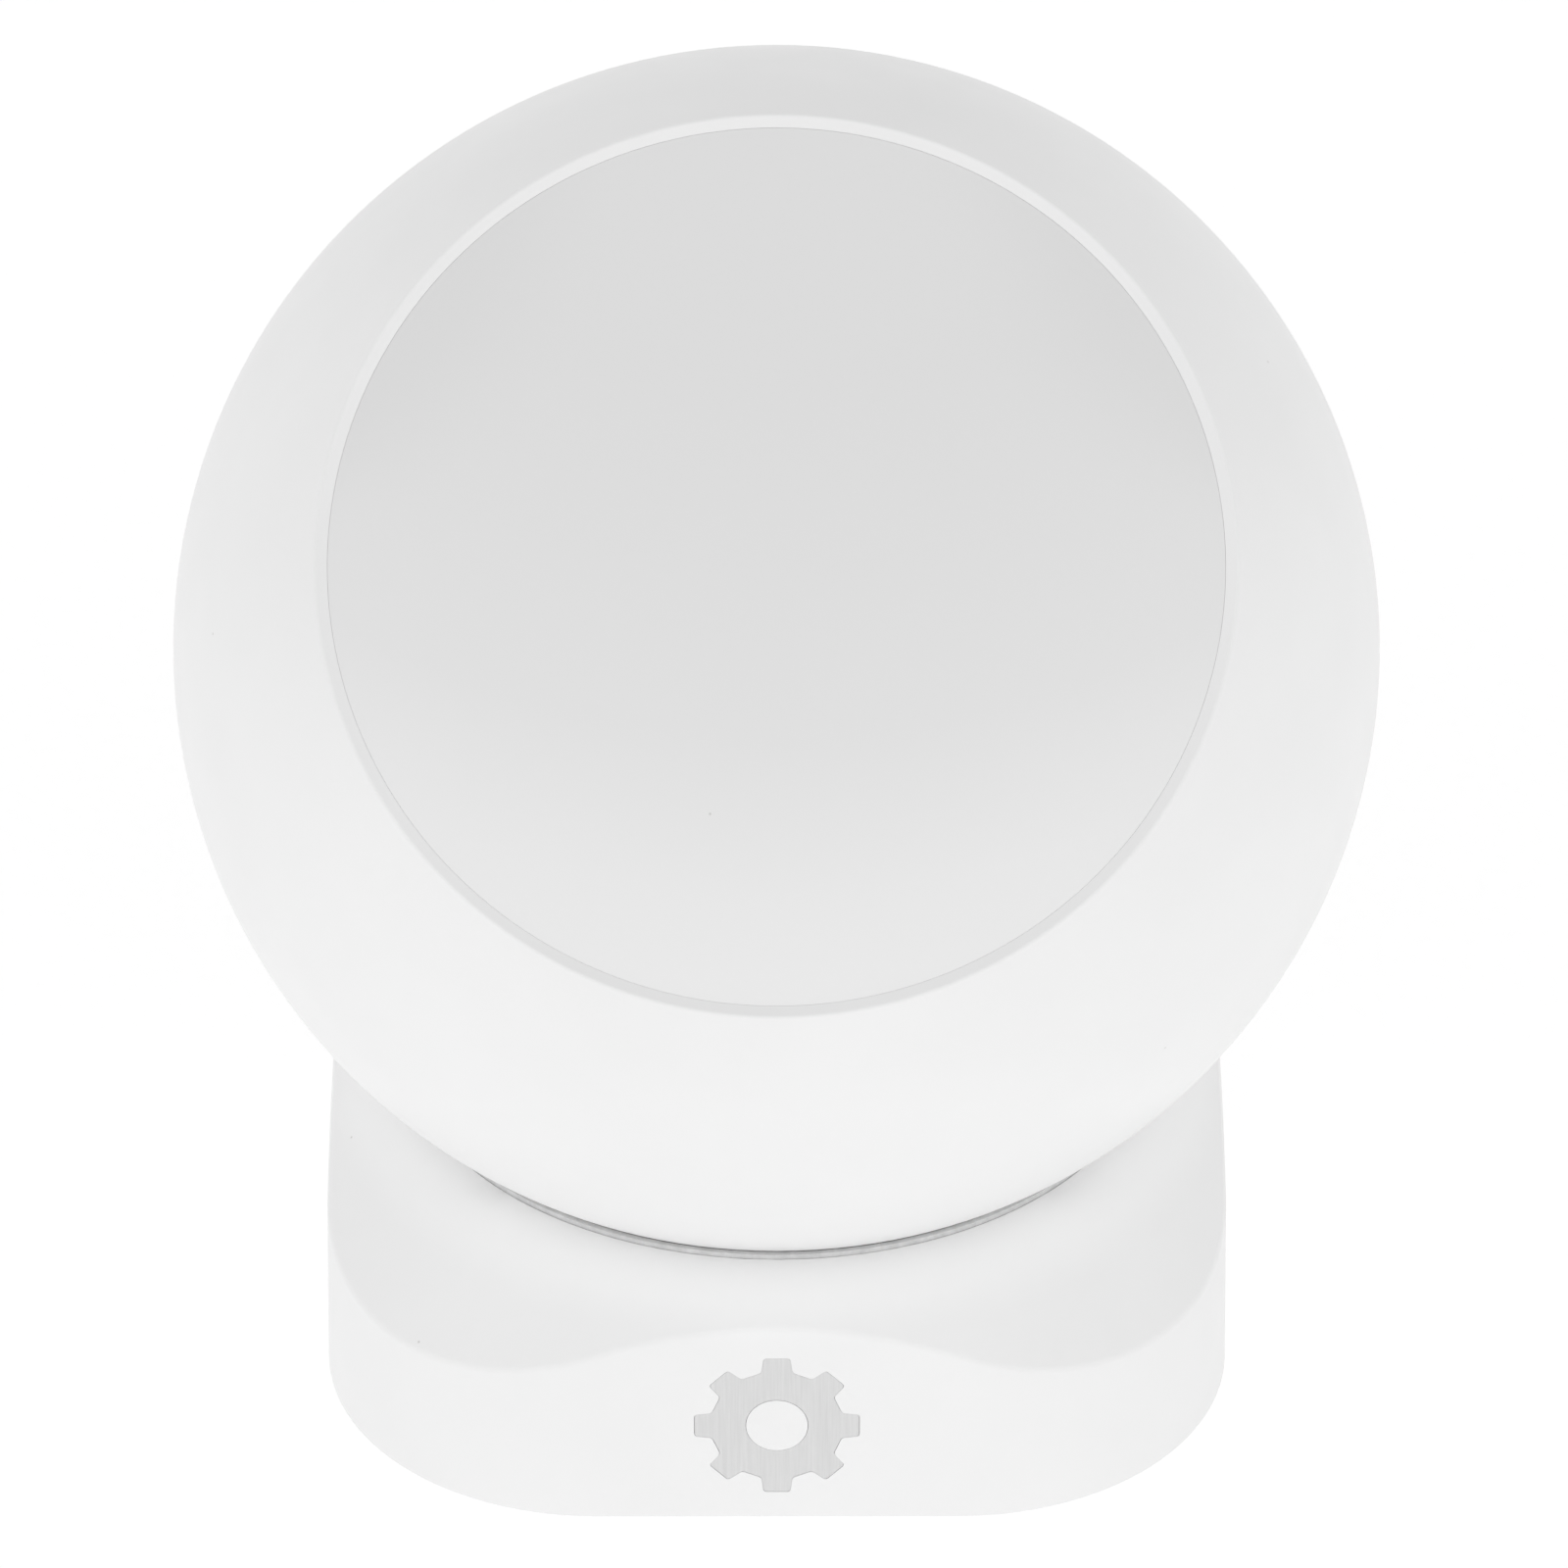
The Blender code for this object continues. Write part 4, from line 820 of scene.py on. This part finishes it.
def screws():
    for i, (x, y) in enumerate(HEAD_SCREWS):
        turned = FLIP @ Matrix.Rotation(0.5 + 1.1 * i, 4, "Z")
        place = HEAD @ Matrix.Translation((x, y, -SINK_FLOOR - GAP)) @ turned
        screw(f"head_bolt_{i + 1}", f"head_screw_{i + 1}", "head", *HEAD_SCREW, place)
    for i, (corner, (side, depth)) in enumerate(CORNERS.items()):
        turned = FLIP @ Matrix.Rotation(0.3 + 0.8 * i, 4, "Z")
        place = Matrix.Translation((side * SCREW_XY, depth * SCREW_XY, BASE_SCREW_Z)) @ turned
        screw("base_bolt_" + corner, "base_screw_" + corner, "base", *BASE_SCREW, place)


# ---------------------------------------------------------------- head


def front_shell():
    outside = arc(BALL_R, FACE_EDGE_Z, SEAM_Z, 72)
    inside_top = 0.0285
    inside = arc(INNER_R, SEAM_Z, inside_top, 28)
    recess = [(RECESS_R, inside_top), (RECESS_R, RECESS_FLOOR), (FACE_GAP_R, RECESS_FLOOR)]
    recess += [(FACE_GAP_R, DISC_TOP + 0.00002)]
    points = outside + inside + recess
    radii = [0.0] * len(points)
    radii[0] = 0.00030
    radii[len(outside) - 1] = 0.00012
    radii[-1] = 0.00001
    shell = lathe("head_front", rounded(points, radii), closed=True, matrix=HEAD)
    post_r, post_low, post_top = 0.0026, PLATE_TOP + GAP, PLATE_TOP + GAP + 0.0046
    hole_r, hole_low, hole_top = 0.0010, PLATE_TOP - 0.001, PLATE_TOP + 0.0035
    for angle in FRAME_ANGLES:
        spot = (FRAME_SCREW_R * math.cos(angle), FRAME_SCREW_R * math.sin(angle), 0.0)
        at = HEAD @ Matrix.Translation(spot)
        join(shell, plug("post", circle(post_r, 32), post_low, post_top, at))
        cut(shell, plug("post_hole", circle(hole_r, 24), hole_low, hole_top, at))
    return piece(cleaned(shell), "head", "shell_white", shell_look, "head_front_shell")


def grille_spots():
    """A centre hole and two rings of holes, as (x, y) across the speaker's axis."""
    pitch = 0.0042
    spots = [(0.0, 0.0)]
    for ring, count in ((1, 5), (2, 10)):
        for i in range(count):
            angle = i / count * math.tau
            spots.append((pitch * ring * math.cos(angle), pitch * ring * math.sin(angle)))
    return spots


def rear_shell():
    start = SEAM_Z - GAP
    outside = arc(BALL_R, start, -BALL_R, 64)
    outside[-1] = (0.0, -BALL_R)
    inside = arc(INNER_R, -INNER_R, -0.0140, 30)
    inside[0] = (0.0, -INNER_R)
    tongue_low, tongue_top = -0.0136, -0.0099
    tongue = [(TONGUE_R[0], tongue_low), (TONGUE_R[0], tongue_top), (TONGUE_R[1], tongue_top), (TONGUE_R[1], start)]
    points = outside + inside + tongue
    radii = [0.0] * len(points)
    radii[0] = 0.00012
    shell = lathe("head_rear", rounded(points, radii), closed=True, matrix=HEAD)
    for x, y in HEAD_SCREWS:
        at = HEAD @ Matrix.Translation((x, y, 0.0))
        reach = math.sqrt((BALL_R - 0.0015) ** 2 - x**2 - y**2) - POST_R * 0.9
        join(shell, plug("post", circle(POST_R, 32), -reach, -0.0125, at))
        cut(shell, plug("sink", circle(0.0025, 48), -0.0450, -SINK_FLOOR, at))
        cut(shell, plug("hole", circle(0.0013, 24), -0.0400, -0.0100, at))
    seat_r, seat_low, seat_top = SPEAKER_R + 0.0016, 0.0395, 0.0460
    seat = [(seat_r, seat_top), (seat_r, seat_low), (SPEAKER_R + GAP, seat_low), (SPEAKER_R + GAP, seat_top)]
    join(shell, lathe("seat", seat, 96, True, SPEAKER))
    holes = []
    for x, y in grille_spots():
        holes.append(plug("hole", circle(0.0011, 28), 0.0440, 0.0540, SPEAKER @ Matrix.Translation((x, y, 0.0))))
    cut(shell, *holes)
    reach = BALL_R * math.sin(NOD_LIMIT + math.radians(8.0))
    slot = pill(COLUMN_R + 0.0015, reach, COLUMN_R + 0.0014, 16)
    cut(shell, plug("slot", slot, 0.0040, 0.0300))
    return piece(cleaned(shell), "head", "shell_white", shell_look, "head_rear_shell")


def face():
    edge = 0.00003
    points = [(radius, DISC_TOP) for radius in (0.0, 0.012, 0.024, DISC_R - 0.0012, DISC_R)]
    points += [(DISC_R, DISC_TOP - DISC_THICK), (0.0, DISC_TOP - DISC_THICK)]
    disc = lathe("face_diffuser", rounded(points, (0.0, 0.0, 0.0, 0.0, edge, 0.0001, 0.0), 6), matrix=HEAD)
    return piece(disc, "head", "face_white", looks["face_white"], "face_disc")


def carried_over():
    """Gives each CAD node that keeps its shape its look; what is left is screws and other steel."""
    chosen = {node: key for key, nodes in KEPT.items() for node in nodes}
    for name, obj in NODES.items():
        obj.data.materials.clear()
        obj.data.materials.append(looks[chosen.get(name, "steel")])
        if not obj.hide_render and name not in chosen:
            assert "screw" in name or name in ("retaining_ring", "pan_motor", "motor_shaft"), name


base_body()
emblem_inlay()
seal()
feet()
usb_socket()
button()
screws()
front_shell()
rear_shell()
face()
carried_over()


# ---------------------------------------------------------------- studio


def floor():
    """A wide pale floor that gives off a little light of its own, as an overlit sweep does."""
    just_below = Matrix.Translation((0.0, 0.0, -0.00002))
    disc = lathe("floor", [(0.0, 0.0), (0.3, 0.0), (3.0, 0.0)], 96, matrix=just_below)
    look = Look("floor_paper", 0.9, specular=0.1)
    fibre = look.ranged(look.noise(900.0, 3.0), 0.3, 0.7, 0.0, 1.0)
    colour = look.mix(fibre, shade(0.60), shade(0.62))
    look.finish(colour, None, None, Emission_Color=(1.0, 1.0, 1.0, 1.0), Emission_Strength=0.52)
    disc.data.materials.append(look.material)


# The room's brightness along a direction is a sum of these products of its x, y and z.
SKY_TERMS = {"X": -0.078, "Y": -0.054, "XX": -0.104, "XY": -0.054, "XZ": 0.129, "YZ": -0.197, "ZZ": -0.385}


def surroundings():
    """A white room: brightest round the horizon, most of all in front and to the left, and dimmer overhead."""
    world = bpy.data.worlds.new("studio")
    world.use_nodes = True
    tree = world.node_tree
    background = tree.nodes["Background"]
    place = tree.nodes.new("ShaderNodeTexCoord")
    axes = tree.nodes.new("ShaderNodeSeparateXYZ")
    tree.links.new(place.outputs["Generated"], axes.inputs["Vector"])

    def calculated(operation, *values):
        node = tree.nodes.new("ShaderNodeMath")
        node.operation = operation
        for socket, value in zip(node.inputs, values):
            if isinstance(value, float):
                socket.default_value = value
            else:
                tree.links.new(value, socket)
        return node.outputs[0]

    strength = 1.02
    for letters, factor in SKY_TERMS.items():
        product = axes.outputs[letters[0]]
        if len(letters) == 2:
            product = calculated("MULTIPLY", product, axes.outputs[letters[1]])
        strength = calculated("MULTIPLY_ADD", product, factor, strength)
    tree.links.new(strength, background.inputs["Strength"])
    background.inputs["Color"].default_value = (1.0, 1.0, 1.0, 1.0)
    bpy.context.scene.world = world


def camera():
    """The photograph's standpoint: well above, straight in front, with a long lens."""
    distance = 0.875
    height = math.radians(33.2)
    lens_px = 10755.4
    middle = 800.0
    ball_px = (790.9, 661.9)
    data = bpy.data.cameras.new("camera")
    data.sensor_width = 36.0
    data.lens = lens_px / (2 * middle) * data.sensor_width
    data.clip_start, data.clip_end = 0.05, 20.0
    view = bpy.data.objects.new("camera", data)
    view.location = (0.0, -distance * math.cos(height), BALL_Z + distance * math.sin(height))
    pitch = height + math.atan((middle - ball_px[1]) / lens_px)
    yaw = math.atan((middle - ball_px[0]) / lens_px)
    view.rotation_euler = (math.pi / 2 - pitch, 0.0, -yaw)
    bpy.context.scene.collection.objects.link(view)
    bpy.context.scene.camera = view


floor()
surroundings()
camera()
bpy.context.scene.view_settings.view_transform = "Standard"
